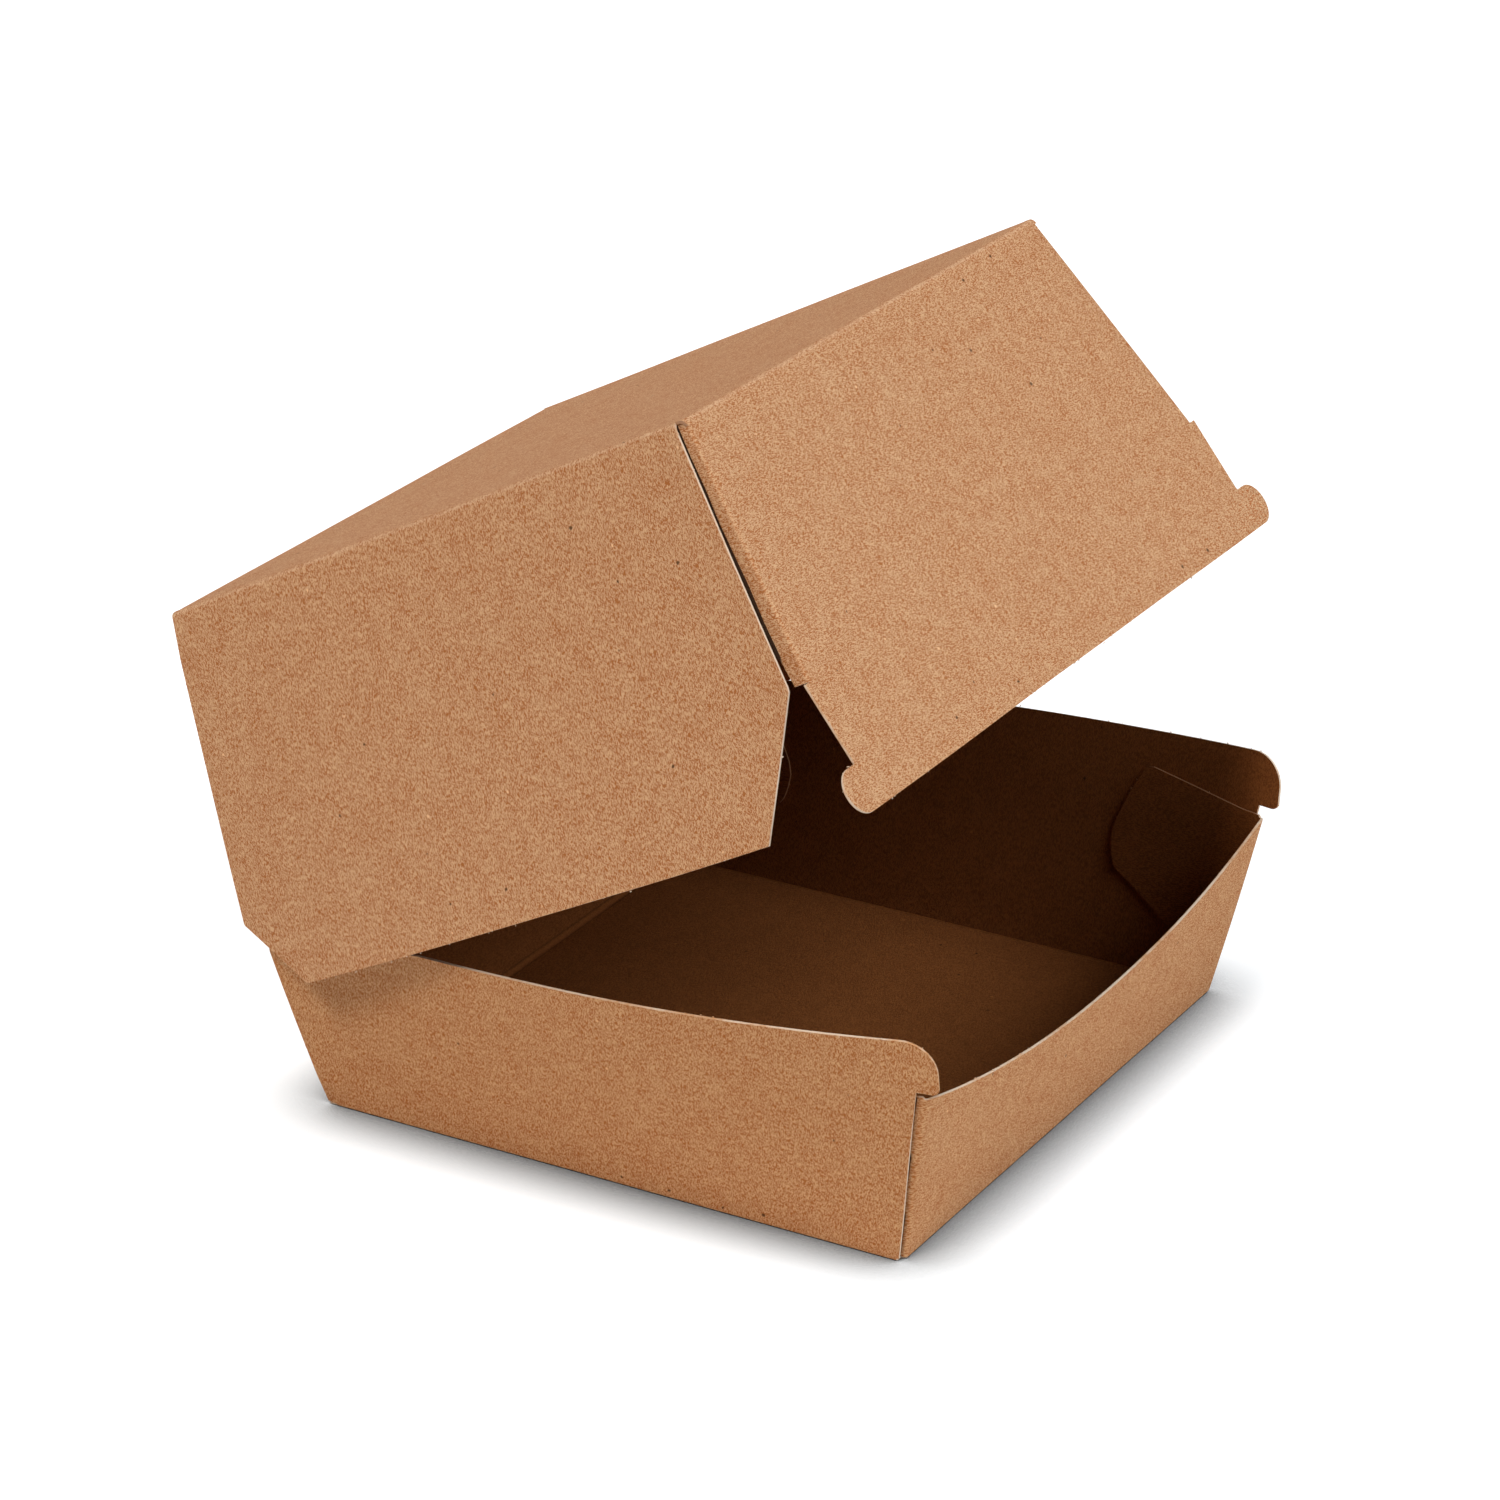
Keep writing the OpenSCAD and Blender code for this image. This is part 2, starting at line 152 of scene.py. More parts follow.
class LidSizes(PropertyGroup):
    """The lid: top panel, walls, ears and glue flaps"""

    opened: angle("Opened", "Angle by which the lid stands open at rest", 27.7)
    lid_h: length("Lid height", "Height of the lid from crease to top panel", 0.0521)
    front_lean: angle("Front lean", "Lean of the lid's front wall", 10.2)
    back_lean: angle("Back lean", "Lean of the lid's back wall", 8.0)
    side_lean_front: angle("Side lean, front", "Lean of the side panels at the front fold", 12.7)
    side_lean_back: angle("Side lean, back", "Lean of the side panels at the back fold", 7.7)
    side_bow: length("Side bow", "How far the side panels bow out at the middle of their lower edge", 0.0035)
    skirt: length("Skirt", "Reach of the lid's walls below the crease", 0.0063)
    gap: length("Gap", "Clearance between the closed lid and the tray", 0.00035)
    fold_end: length("Fold end", "Height of the front folds' lower ends above the crease", 0.013)
    corner_cut: length("Corner cut", "How far the side panels' cut-away corner reaches back", 0.0103)
    chamfer: length("Chamfer", "Length of the side panels' chamfer at the crease", 0.0099)
    chamfer_rise: length("Chamfer rise", "Height at which the chamfer meets the back fold", 0.0049)
    edge_setback: length("Edge setback", "Setback of the side panels' front edge", 0.0014)
    ear_reach: length("Ear reach", "Reach of an ear beyond the lid's front wall", 0.0054)
    ear_h: length("Ear height", "Height of an ear", 0.0067)
    crease_edge: length("Crease edge", "Distance of the lid's back wall from the crease's axis", 0.00065)
    flap_len: length("Flap length", "Length of the lid's glue flaps", 0.019)
    flap_spring: length("Flap spring", "How far a side panel's front edge stands off from its flap", 0.0013)


class KraftLook(PropertyGroup):
    """Colours and grain of the board"""

    outside_dark: colour("Outside, dark fibres", "Dark fibres of the outer face", (0.425, 0.142, 0.041))
    outside_light: colour("Outside, pale fibres", "Pale fibres of the outer face", (0.69, 0.425, 0.236))
    inside_dark: colour("Inside, dark fibres", "Dark fibres of the inner face", (0.175, 0.053, 0.013))
    inside_light: colour("Inside, pale fibres", "Pale fibres of the inner face", (0.295, 0.1, 0.026))
    fold_pale: colour("Fold, rubbed", "Board that is rubbed pale along a fold", (0.80, 0.58, 0.40))
    edge_pale: colour("Cut edge, pale", "Pale core of the board at a cut edge", (0.78, 0.61, 0.46))
    # Painted shade: a darker cut edge for glue flaps and tucked tabs, which lie in shade
    edge_flap_shade: colour("Cut edge, flap", "Cut edge of a glue flap", (0.40, 0.19, 0.09))
    edge_brown: colour("Cut edge, brown", "Brown stretches of a cut edge", (0.60, 0.31, 0.14))
    # Painted shade: the tray's outer face is tinted deeper than the lid's, for the shade it stands in beneath the
    # lid
    tray_shade_tint: colour("Tray tone", "Tone of the tray's outer face beside the lid's", (1.0, 0.935, 0.82))
    patchiness: share("Patchiness", "Strength of the cloudy patches", 0.07)
    roughness: share("Roughness", "Roughness of the board", 0.82)
    burr_size: length("Burr size", "Size of the burrs left on cut edges", 0.0002)
    burr_step: length("Burr step", "Average distance between burrs", 0.0036)
    burr_seed: IntProperty(name="Burr seed", description="Seed for the places of the burrs", default=7)


class StageLook(PropertyGroup):
    """Floor, light and camera"""

    floor_size: length("Floor size", "Side of the floor", 8.0)
    floor_white: share("Floor white", "Brightness of the floor as it lights the box", 0.86)
    floor_seen: colour("Floor, seen", "Colour of the floor where the camera sees it", (0.40, 0.43, 0.45))
    floor_lift: share("Floor lift", "Light added to the floor where the camera sees it", 0.84)
    # Painted shadow: the floor is darkened near where the box stands, within this reach
    contact_shadow: length("Contact", "Reach of the dark rim where the box stands on the floor", 0.0125)
    sky: amount("Sky", "Strength of the light from all round", 0.04)
    front: amount("Front", "Strength of the light from the front", 2.02)
    front_azimuth: angle("Front azimuth", "Direction of the front light, from the front towards the right", 4.0)
    front_height: angle("Front height", "Height of the front light above the floor", 42.0)
    front_tint: colour("Front tint", "Colour of the front light", (0.88, 0.945, 1.0))
    left: amount("Left", "Strength of the light from the left", 1.44)
    left_azimuth: angle("Left azimuth", "Direction of the left light, from the front towards the right", -96.0)
    left_height: angle("Left height", "Height of the left light above the floor", 51.0)
    left_tint: colour("Left tint", "Colour of the left light", (1.0, 0.9, 0.81))
    back: amount("Back", "Strength of the light from behind on the left", 0.72)
    back_azimuth: angle("Back azimuth", "Direction of the back light, from the front towards the right", -138.0)
    back_height: angle("Back height", "Height of the back light above the floor", 66.0)
    back_tint: colour("Back tint", "Colour of the back light", (1.0, 0.95, 0.9))
    lens: FloatProperty(name="Lens", description="Focal length of the camera, in mm", default=124.598)
    azimuth: angle("Camera azimuth", "Direction of the camera from the front towards the right", -59.969)
    height: angle("Camera height", "Height of the camera above the horizon", 23.451)
    distance: length("Distance", "Distance of the camera from the box", 0.816495)
    across: length("Across", "Where the camera points, to the right of the origin", -0.004708)
    up: length("Up", "Where the camera points, above the origin", 0.046321)


def spread(first, last, step):
    """Even steps from one place to another, none longer than step."""
    return np.linspace(first, last, max(2, math.ceil(abs(last - first) / step)) + 1)


class TrayForm:
    """The tray's surfaces, as functions of place."""

    fall_curve = 0.0005
    shoulder_at = 0.26
    shoulder_power = 1.6
    bulge_reach = 0.6
    bulge_forward = 0.16
    spring_reach = 0.008
    strip_room = 0.0005

    def __init__(self, tray, board):
        self.tray, self.board = tray, board
        self.half_w, self.half_d = tray.base_w / 2, tray.base_d / 2
        self.front_slope = math.tan(tray.front_lean)
        self.back_slope = math.tan(tray.back_lean)
        self.side_slope = math.tan(tray.side_lean)
        self.hinge_y = self.half_d + tray.hinge_h * self.back_slope
        self.back_rim = tray.hinge_h - self.strip_room
        self.front_half = self.side_x(self.front_fold_y(tray.front_h), tray.front_h)
        self.scoop_r = (self.front_half**2 + tray.front_scoop**2) / (2 * tray.front_scoop)
        self.inset = board.thickness + board.seam_room
        self.notch_y = self.side_front_y(tray.front_h + tray.notch_rise)
        self.tip_y = self.notch_y - tray.hook_reach
        self.hook_top_y = self.tip_y + tray.hook_round
        self.hook_top_z = self.slow_top(self.hook_top_y)
        self.hook_round_z = self.hook_top_z - tray.hook_round
        self.toe_z = self.hook_top_z - tray.hook_h

    def side_x(self, y, z):
        """Distance of a side wall from the centre plane."""
        u = y / (self.bulge_reach * self.tray.base_d)
        bulge = (1 - u * u) * (1 - self.bulge_forward * u)
        return self.half_w + z * (self.side_slope + self.tray.side_bulge / self.tray.side_h * bulge)

    def flap_x(self, y, z):
        """A glue flap, which springs off the wall a little next to the front folds."""
        near_fold = np.clip(1 - (y - self.front_fold_y(z)) / self.spring_reach, 0, 1)
        return self.side_x(y, z) - self.inset - self.tray.flap_spring * near_fold**2

    def front_fold_y(self, z):
        return -self.half_d - z * self.front_slope

    def back_y(self, x, z):
        return self.half_d + z * self.back_slope + 0 * x

    def front_y(self, x, z):
        """The front wall, bowed out a little between its corners."""
        return self.front_fold_y(z) - z * self.tray.front_bow / self.tray.front_h * (1 - (x / self.front_half) ** 2)

    def front_rim(self, x):
        """The scooped rim of the front wall."""
        drop = self.scoop_r - np.sqrt(self.scoop_r**2 - x * x)
        return self.tray.front_h - self.tray.front_scoop + drop

    def slow_top(self, y):
        u = y / self.half_d
        return self.tray.side_h - self.tray.side_fall / 2 * u + self.fall_curve * u * u

    def side_top(self, y):
        """Top edge of a side wall, down over the rounded shoulder to the crease."""
        start = self.shoulder_at * self.tray.base_d
        fade = np.clip((y - start) / (self.hinge_y - start), 0, 1) ** self.shoulder_power
        return self.slow_top(y) * (1 - fade) + self.tray.hinge_h * fade

    def side_front_y(self, z):
        """Free front edge of a side wall."""
        setback = self.tray.side_setback
        return self.front_fold_y(z) + setback / 4 + setback * 3 / 4 * z / self.tray.front_h


class LidForm:
    """The closed lid's surfaces, measured from the crease's axis."""

    edge_taper = 0.025
    slope_limits = (-0.02, 1.05)
    swing_room = 0.0001
    spring_reach = 0.012
    spring_least, spring_more = 0.32, 0.68
    flap_bulk = 0.00046
    flap_margin = 0.001
    back_flap_share = 0.6
    need_step = 0.003

    def __init__(self, lid, form, board):
        self.lid, self.form, self.board = lid, form, board
        self.front_slope, self.back_slope = math.tan(lid.front_lean), math.tan(lid.back_lean)
        self.slope_front, self.slope_back = math.tan(lid.side_lean_front), math.tan(lid.side_lean_back)
        self.inset = board.thickness + board.seam_room
        across = board.thickness / 2 * math.hypot(1, self.front_slope)
        self.hook_up = form.hook_round_z - form.tray.hinge_h
        self.hook_out = form.tip_y - form.hinge_y - lid.gap - self.swing_room - across
        self.depth = -self.front_y(0)
        self.top_half = self.widest_need()

    def front_y(self, z):
        return self.hook_out + (z - self.hook_up) * self.front_slope

    def back_y(self, z):
        return -z * self.back_slope

    def slope_at(self, y):
        """Slope of a side panel: it twists and bows from the back fold to the front fold."""
        s = np.clip(-y / self.depth, *self.slope_limits)
        bow = 4 * self.lid.side_bow / (self.lid.lid_h + self.lid.skirt)
        return self.slope_back + (self.slope_front - self.slope_back) * s + bow * s * (1 - s)

    def widest_need(self):
        """Half of the top panel's width, so that the closed lid clears the tray's bulging walls."""
        form, lid = self.form, self.lid
        y = spread(form.hook_top_y, form.hinge_y - lid.flap_len * self.back_flap_share, self.need_step)
        top = form.side_top(y)
        skin = self.board.thickness * math.hypot(1, self.slope_front)
        in_flap = y - form.hinge_y < self.front_y(lid.fold_end) + lid.flap_len + self.flap_margin
        need = form.side_x(y, top) + skin + lid.gap + np.where(in_flap, self.flap_bulk, 0)
        return float(np.max(need - (lid.lid_h - top + form.tray.hinge_h) * self.slope_at(y - form.hinge_y)))

    def side_x(self, y, z):
        return self.top_half + (self.lid.lid_h - z) * self.slope_at(y)

    def flap_x(self, y, z):
        """A glue flap, which springs off the side panel next to the front folds, most at their lower ends."""
        near_fold = (1 - np.clip((y - self.front_y(z)) / self.spring_reach, 0, 1) ** 2) ** 2
        down = np.clip((self.lid.lid_h - z) / (self.lid.lid_h - self.lid.fold_end), 0, 1)
        sprung = self.lid.flap_spring * near_fold * (self.spring_least + self.spring_more * down)
        return self.side_x(y, z) - self.inset - sprung

    def side_front_y(self, z):
        """Free front edge of a side panel."""
        return self.front_y(z) + self.lid.edge_setback + (self.lid.lid_h - z) * self.edge_taper


def points(x, y, z, u, v, fold=0.0):
    """An array of sheet points from arrays or numbers of one shape."""
    parts = np.broadcast_arrays(*(np.asarray(part, float) for part in (x, y, z, u, v, fold)))
    return np.stack(parts, -1)


def bend(start, corner, end, steps=5, worn=2.0):
    """Rows that turn smoothly from start to end round a fold's line, whose points are in corner."""
    corner = corner.copy()
    corner[..., FOLD] = worn
    rows = []
    for s in np.linspace(0, 1, steps + 1):
        rows.append((1 - s) ** 2 * start + 2 * s * (1 - s) * corner + s**2 * end)
    return rows


def folded(lead, start, line, wall, whole=True):
    """A column of a sheet: a flat strip, a rounded fold and the wall. Where it isn't whole, the wall is alone."""
    rows = np.stack([lead] + bend(start, line, wall[0])[:-1])
    return np.concatenate([rows if whole else np.full_like(rows, np.nan), wall])


def both_sides(grid, turned):
    """A sheet and the same sheet on the other side of the box."""
    other = grid.copy()
    other[..., X] *= -1
    other[..., FLAT_U] *= -1
    return [(grid, turned), (other, not turned)]


# Places along a glue flap, as shares of its length, in small steps where its cover's edge crosses it
COVERED_PARTS = (0.015, 0.03, 0.045, 0.06, 0.075, 0.09, 0.105, 0.12, 0.14)
PLAIN_PARTS = (0.03, 0.09, 0.14)
FLAP_PARTS = (0.28, 0.42, 0.56, 0.7, 0.8, 0.86, 0.89, 0.92, 0.945, 0.965, 0.98, 0.99, 0.998)
# Where a flap's rounded end starts, and how far the fold's full height reaches along it, without and with a rise
FLAP_END, END_POWER = 0.86, 2.5
FULL_PLAIN, FULL_RISING = 0.1, 0.17
# Shares of its fold's height: the starts of its two edges, its tip, and the run of its lower edge
FLAP_TOP, FLAP_FOOT, FLAP_TIP = 0.98, 0.02, 0.755
LOW_SLOPE, LOW_CURVE, LOW_ROUND = 0.7, 0.17, 0.2


def flap_high(part, rise):
    """Upper edge of a glue flap at a part of its length, as a share of its fold's height."""
    fade = max(0, (part - FLAP_END) / (1 - FLAP_END)) ** END_POWER
    level = FLAP_TOP + rise * min(part, FLAP_END)
    if part < (FULL_RISING if rise else FULL_PLAIN):
        level = max(level, 1.0)
    return level * (1 - fade) + FLAP_TIP * fade


def flap_low(part, square):
    """Lower edge of a glue flap, likewise. A square part next to the fold keeps the fold's full height."""
    if part < square:
        return 0.0
    straight, at_end = min(part, FLAP_END), max(0, (part - FLAP_END) / (1 - FLAP_END))
    return FLAP_FOOT + LOW_SLOPE * straight - LOW_CURVE * straight**2 + LOW_ROUND * at_end**2


def glue_flap(wall_end, fold_y, way, span, foot, head, rise, flap_x, run, square=0.0, cover=None):
    """Columns that turn from the end of a wall into a glue flap inside a side wall.

    wall_end is the wall's last column. The flap runs back where way is 1 and forward where it is -1.
    The heights of its outline run from foot to head. It is glued behind the edge of the panel that covers it, where
    cover gives that edge. That hidden part, or without a cover all but the flap's start, is marked for painted
    shade.
    """
    z, u, v = wall_end[:, Z], wall_end[:, FLAT_U], wall_end[:, FLAT_V]
    corner = points(flap_x(fold_y(z), z), fold_y(z), z, u + run, v)
    y = fold_y(z) + way * run
    end = points(flap_x(y, z), y, z, u + 2 * run, v)
    columns = bend(wall_end, corner, end, worn=0.5)
    rows = np.linspace(0, 1, len(z))
    if wall_end[0, Z] > wall_end[-1, Z]:
        rows = rows[::-1]
    per_height = (v[-1] - v[0]) / (z[-1] - z[0])
    for part in (COVERED_PARTS if cover else PLAIN_PARTS) + FLAP_PARTS:
        low, high = flap_low(part, square), flap_high(part, rise)
        height = foot + (head - foot) * (low + (high - low) * rows)
        out = run + part * (span - run)
        y = fold_y(height) + way * out
        flat_v = v[0] + (height - z[0]) * per_height
        hidden_shade = np.where(y > cover(height) if cover else part > FULL_PLAIN, HIDDEN_SHADE, 0.0)
        columns.append(points(flap_x(y, height), y, height, u + run + out, flat_v, hidden_shade))
    return np.stack(columns)


def tray_sheets(form):
    """The tray's floor, walls and flaps, as (grid, turned) pairs: turned sheets have their outer face behind."""
    tray, board = form.tray, form.board
    mid, run = board.thickness / 2, board.fold_run
    foot = mid + run
    floor_x = form.half_w - run - board.lead
    floor_y = (form.half_d - run - board.lead, form.half_d - board.wide_run - board.lead)
    across = spread(-1, 1, ACROSS_STEP)
    wall_rows = 9
    heights = np.linspace(0, 1, wall_rows)
    along = spread(-floor_y[0], floor_y[1], COARSE_STEP)
    patch_inset = 0.0001

    floor = points(across[:, None] * floor_x, along[None, :], mid, across[:, None] * floor_x, along[None, :])
    corner_x = np.array([floor_x, form.half_w - patch_inset])
    corner_y = np.array([floor_y[1], form.half_d - patch_inset])
    corner = points(corner_x[:, None], corner_y[None, :], mid, corner_x[:, None], corner_y[None, :])
    sheets = [(floor, True)] + both_sides(corner, True)

    def side_wall():
        hook_room, notch_room = 0.0001, 0.00003
        turns = np.radians(np.arange(90, -1, -ARC_STEP))
        hook = [form.hook_top_y - tray.hook_round * math.sin(turn) for turn in turns]
        hook = [y for y in hook if y < form.notch_y - hook_room]
        upper = spread(form.notch_y, form.side_front_y(0), CURVE_STEP)
        back = spread(floor_y[1], form.hinge_y - TIP_ROOM, EDGE_STEP)[1:]
        columns = []

        def wall_high(y):
            if y < form.hook_top_y:
                return form.hook_round_z + math.sqrt(max(0, tray.hook_round**2 - (form.hook_top_y - y) ** 2))
            return float(form.side_top(y))

        def add(y, low, floor_rows=False):
            z = low + (wall_high(y) - low) * heights
            rise = math.hypot(1, form.side_slope)
            wall = points(form.side_x(y, z), y, z, form.half_w + z * rise, y)
            line = points(form.side_x(y, mid), y, mid, form.half_w, y)
            lead = points(floor_x, y, mid, floor_x, y)
            start = points(form.half_w - run, y, mid, form.half_w - run, y)
            columns.append(folded(lead, start, line, wall, floor_rows))

        for y in hook:
            in_toe = max(0, form.tip_y + tray.hook_toe_round - y)
            add(y, form.toe_z + tray.hook_toe_round - math.sqrt(max(0, tray.hook_toe_round**2 - in_toe**2)))
        add(form.notch_y - notch_room, form.toe_z)
        edge_top = form.side_front_y(tray.front_h)
        for y in upper:
            low = tray.front_h * (form.side_front_y(0) - y) / (form.side_front_y(0) - edge_top)
            add(y, max(foot, low))
        for y in along:
            add(y, foot, floor_rows=True)
        for y in back:
            add(y, max(foot, (y - form.half_d) / form.back_slope))
        return np.stack(columns)

    sheets += both_sides(side_wall(), False)

    def cross_wall(wall_y, fold_y, high, way):
        """The front wall (way -1) or back wall (way 1), from the floor up to its rim."""

        def half(z):
            return form.flap_x(fold_y(z), z) - run

        rise = math.hypot(1, form.front_slope)
        soft = run if way < 0 else board.wide_run
        foot = mid + soft
        columns = []
        for p in across:
            z = foot + (high(p * half(tray.front_h)) - foot) * heights
            x = p * half(z)
            wall = points(x, wall_y(x, z), z, x, way * (form.half_d + z * rise))
            low_x = p * half(mid)
            line = points(low_x, wall_y(low_x, mid), mid, low_x, way * form.half_d)
            start = line + [0, -way * soft, 0, 0, -way * soft, 0]
            lead = points(p * floor_x, way * floor_y[way > 0], mid, p * floor_x, way * floor_y[way > 0])
            columns.append(folded(lead, start, line, wall))
        return np.stack(columns)

    front = cross_wall(form.front_y, form.front_fold_y, form.front_rim, -1)
    back_fold_y = lambda z: form.back_y(0, z)
    back = cross_wall(form.back_y, back_fold_y, lambda x: form.back_rim, 1)
    sheets += [(front, False), (back, True)]

    ends = ((front, form.front_fold_y, 1, tray.front_h, tray.flap_rise), (back, back_fold_y, -1, tray.hinge_h, 0))
    for wall, fold_y, way, head, rise in ends:
        wall_end = wall[-1, -wall_rows:]
        cover = form.side_front_y if way > 0 else None
        flap = glue_flap(wall_end, fold_y, way, tray.flap_len, 0, head, rise, form.flap_x, run, cover=cover)
        sheets += both_sides(flap, way < 0)
    return sheets


def lid_sheets(form):
    """The closed lid's panels and flaps, in the crease's frame, as (grid, turned) pairs."""
    lid, board = form.lid, form.board
    run, top = board.fold_run, lid.lid_h
    # A flap ends under the top panel's board, a little more than half its thickness below the middle
    under_board = 0.55
    soft, flap_head = board.top_run, lid.lid_h - board.thickness * under_board
    side_rows, upper_rows, lower_rows, back_rows = 13, 9, 7, 9
    head = top - soft
    front, back = form.front_y(top), form.back_y(top)
    top_x = form.top_half - soft - board.lead
    first, last = front + soft + board.lead, back - soft - board.lead
    side_first = float(form.side_front_y(top))
    across = spread(-1, 1, ACROSS_STEP)
    rows = np.linspace(0, 1, side_rows)
    # On the flat blank: where the lid's back wall starts, how long it is, and how much longer than high each wall is
    flat_back, back_wall_length = 0.0855, 0.0526
    front_stretch, side_stretch, back_stretch = 1.016, 1.02, 1.01

    def flat_v(y):
        return flat_back + back_wall_length + (back - y)

    def side_panel():
        lower_room, first_room, last_room = 0.0003, 0.0001, 0.00005
        tip = float(form.side_front_y(lid.fold_end))
        cut_end = tip + lid.corner_cut
        low_end = lower_room - lid.skirt
        chamfer_y = float(form.back_y(lid.chamfer_rise))
        columns = []

        def low_at(y):
            if y < cut_end:
                return lid.fold_end + (low_end - lid.fold_end) * (y - tip) / lid.corner_cut
            if y > -lid.chamfer:
                return low_end + (lid.chamfer_rise - low_end) * (y + lid.chamfer) / (chamfer_y + lid.chamfer)
            return low_end

        def high_at(y):
            if y < side_first:
                return lid.fold_end + (head - lid.fold_end) * (y - tip) / (side_first - tip)
            if y > back:
                return min(head, -y / form.back_slope)
            return head

        def add(y, top_rows=False):
            z = high_at(y) + (low_at(y) - high_at(y)) * rows
            x = form.side_x(y, z)
            wall = points(x, y, z, form.top_half + (top - z) * side_stretch, flat_v(y))
            line = points(form.top_half, y, top, form.top_half, flat_v(y))
            lead = points(top_x, y, top, top_x, flat_v(y))
            start = points(form.top_half - soft, y, top, form.top_half - soft, flat_v(y))
            columns.append(folded(lead, start, line, wall, top_rows))

        for y in spread(tip + first_room, side_first, EDGE_STEP)[:-1]:
            add(y)
        stops = (
            spread(side_first, cut_end, MIDDLE_STEP)[:-1],
            spread(cut_end, -lid.chamfer, COARSE_STEP)[:-1],
            spread(-lid.chamfer, last, EDGE_STEP),
            spread(last, back - TIP_ROOM, CORNER_STEP)[1:],
        )
        for y in np.concatenate(stops):
            add(y, top_rows=True)
        for y in spread(back - TIP_ROOM, chamfer_y - last_room, CURVE_STEP)[1:]:
            add(y)
        return np.stack(columns)

    side = side_panel()
    on_top = side[~np.isnan(side[:, 0, X]), 0, Y]
    along = np.concatenate([[first], on_top[on_top < last + 1e-9]])
    top_panel = points(across[:, None] * top_x, along, top, across[:, None] * top_x, flat_v(along))
    sheets = [(top_panel, False)] + both_sides(side, True)

    def wall_upper(p, half, fold, way):
        """Rows over the fold between the top panel and a cross wall."""
        edge = half(head)
        line = points(p * half(top), fold, top, p * half(top), flat_v(fold))
        start = line + [0, -way * soft, 0, 0, way * soft, 0]
        lead_y = fold - way * (soft + board.lead)
        lead = points(p * top_x, lead_y, top, p * top_x, flat_v(lead_y))
        end_y = form.front_y(head) if way < 0 else form.back_y(head)
        end = points(p * edge, end_y, head, p * edge, flat_v(fold) - way * soft)
        return np.stack([lead] + bend(start, line, end)[:-1])

    def front_half(z):
        z = np.maximum(z, lid.fold_end)
        return form.flap_x(form.front_y(z), z) - run

    upper_z = np.linspace(head, lid.fold_end, upper_rows)
    lower_z = np.linspace(lid.fold_end, -lid.skirt, lower_rows)
    front_z = np.concatenate([upper_z, lower_z[1:]])
    front_v = flat_v(front) + (top - front_z) * front_stretch
    front_wall = np.stack([
        np.concatenate([
            wall_upper(p, front_half, front, -1),
            points(p * front_half(front_z), form.front_y(front_z), front_z, p * front_half(front_z), front_v),
        ])
        for p in across
    ])
    sheets.append((front_wall, True))

    corner_inset, square_part = 0.0003, 0.12
    corner_x = np.array([top_x, form.top_half - soft, form.top_half - corner_inset])
    corner_y = np.array([first, side_first])
    corner = points(corner_x[None, :], corner_y[:, None], top, corner_x[None, :], flat_v(corner_y)[:, None], TUCKED_EDGE_SHADE)
    tab_in = front_wall[-1, :-len(front_z) + 1]
    tab_out = tab_in.copy()
    tab_out[:, [X, FLAT_U]] = corner_x[-1]
    tab_out[:, FOLD] = TUCKED_EDGE_SHADE
    tab = np.stack([tab_in, tab_out])
    sheets += both_sides(corner, True) + both_sides(tab, True)

    fold_column = front_wall[-1, -len(front_z):-len(front_z) + len(upper_z)]
    front_flap = glue_flap(
        fold_column, form.front_y, 1, lid.flap_len, lid.fold_end, flap_head, 0, form.flap_x, run,
        square=square_part, cover=form.side_front_y
    )
    sheets += both_sides(front_flap, True)

    free_x = float(form.side_x(form.front_y(lid.fold_end), lid.fold_end)) - board.thickness
    ear_r = lid.ear_h / 2
    ear_z = ear_r - lid.skirt
    ear_x = free_x + lid.ear_reach - ear_r
    notch_room, ear_step = 0.00004, 0.0008

    def ear_column(x, low, high):
        z = np.linspace(high, low, len(lower_z))
        return points(x, form.front_y(z), z, x, flat_v(front) + (top - z) * front_stretch)

    ear = [ear_column(x, -lid.skirt, lid.fold_end) for x in (front_half(lid.fold_end), free_x)]
    for x in spread(free_x + notch_room, ear_x, ear_step):
        ear.append(ear_column(x, -lid.skirt, -lid.skirt + lid.ear_h))
    for a in np.radians(np.arange(ARC_STEP, 85, ARC_STEP)):
        rise = ear_r * math.cos(a)
        ear.append(ear_column(ear_x + ear_r * math.sin(a), ear_z - rise, ear_z + rise))
    sheets += both_sides(np.stack(ear), True)

    crease_half = form.form.flap_x(form.form.hinge_y, form.form.tray.hinge_h) - run
    back_end = float(form.flap_x(form.back_y(lid.chamfer_rise), lid.chamfer_rise)) - run
    crease_share = crease_half / back_end

    def back_half(z):
        z = np.maximum(z, lid.chamfer_rise)
        return form.flap_x(form.back_y(z), z) - run

    def back_low(p):
        if abs(p) <= crease_share:
            return lid.crease_edge
        return lid.crease_edge + (lid.chamfer_rise - lid.crease_edge) * (abs(p) - crease_share) / (1 - crease_share)

    back_wall, share_room = [], 0.01
    inner = across[np.abs(across) < crease_share - share_room]
    for p in np.concatenate([[-1], [-crease_share], inner, [crease_share], [1]]):
        z = np.linspace(head, back_low(p), back_rows)
        wall = points(p * back_half(z), form.back_y(z), z, p * back_half(z), flat_back + z * back_stretch)
        back_wall.append(np.concatenate([wall_upper(p, back_half, back, 1), wall]))
    back_wall = np.stack(back_wall)
    sheets.append((back_wall, False))
    back_flap = glue_flap(
        back_wall[-1, -back_rows:], form.back_y, -1, lid.flap_len, lid.chamfer_rise, flap_head, 0, form.flap_x, run
    )
    return sheets + both_sides(back_flap, False)


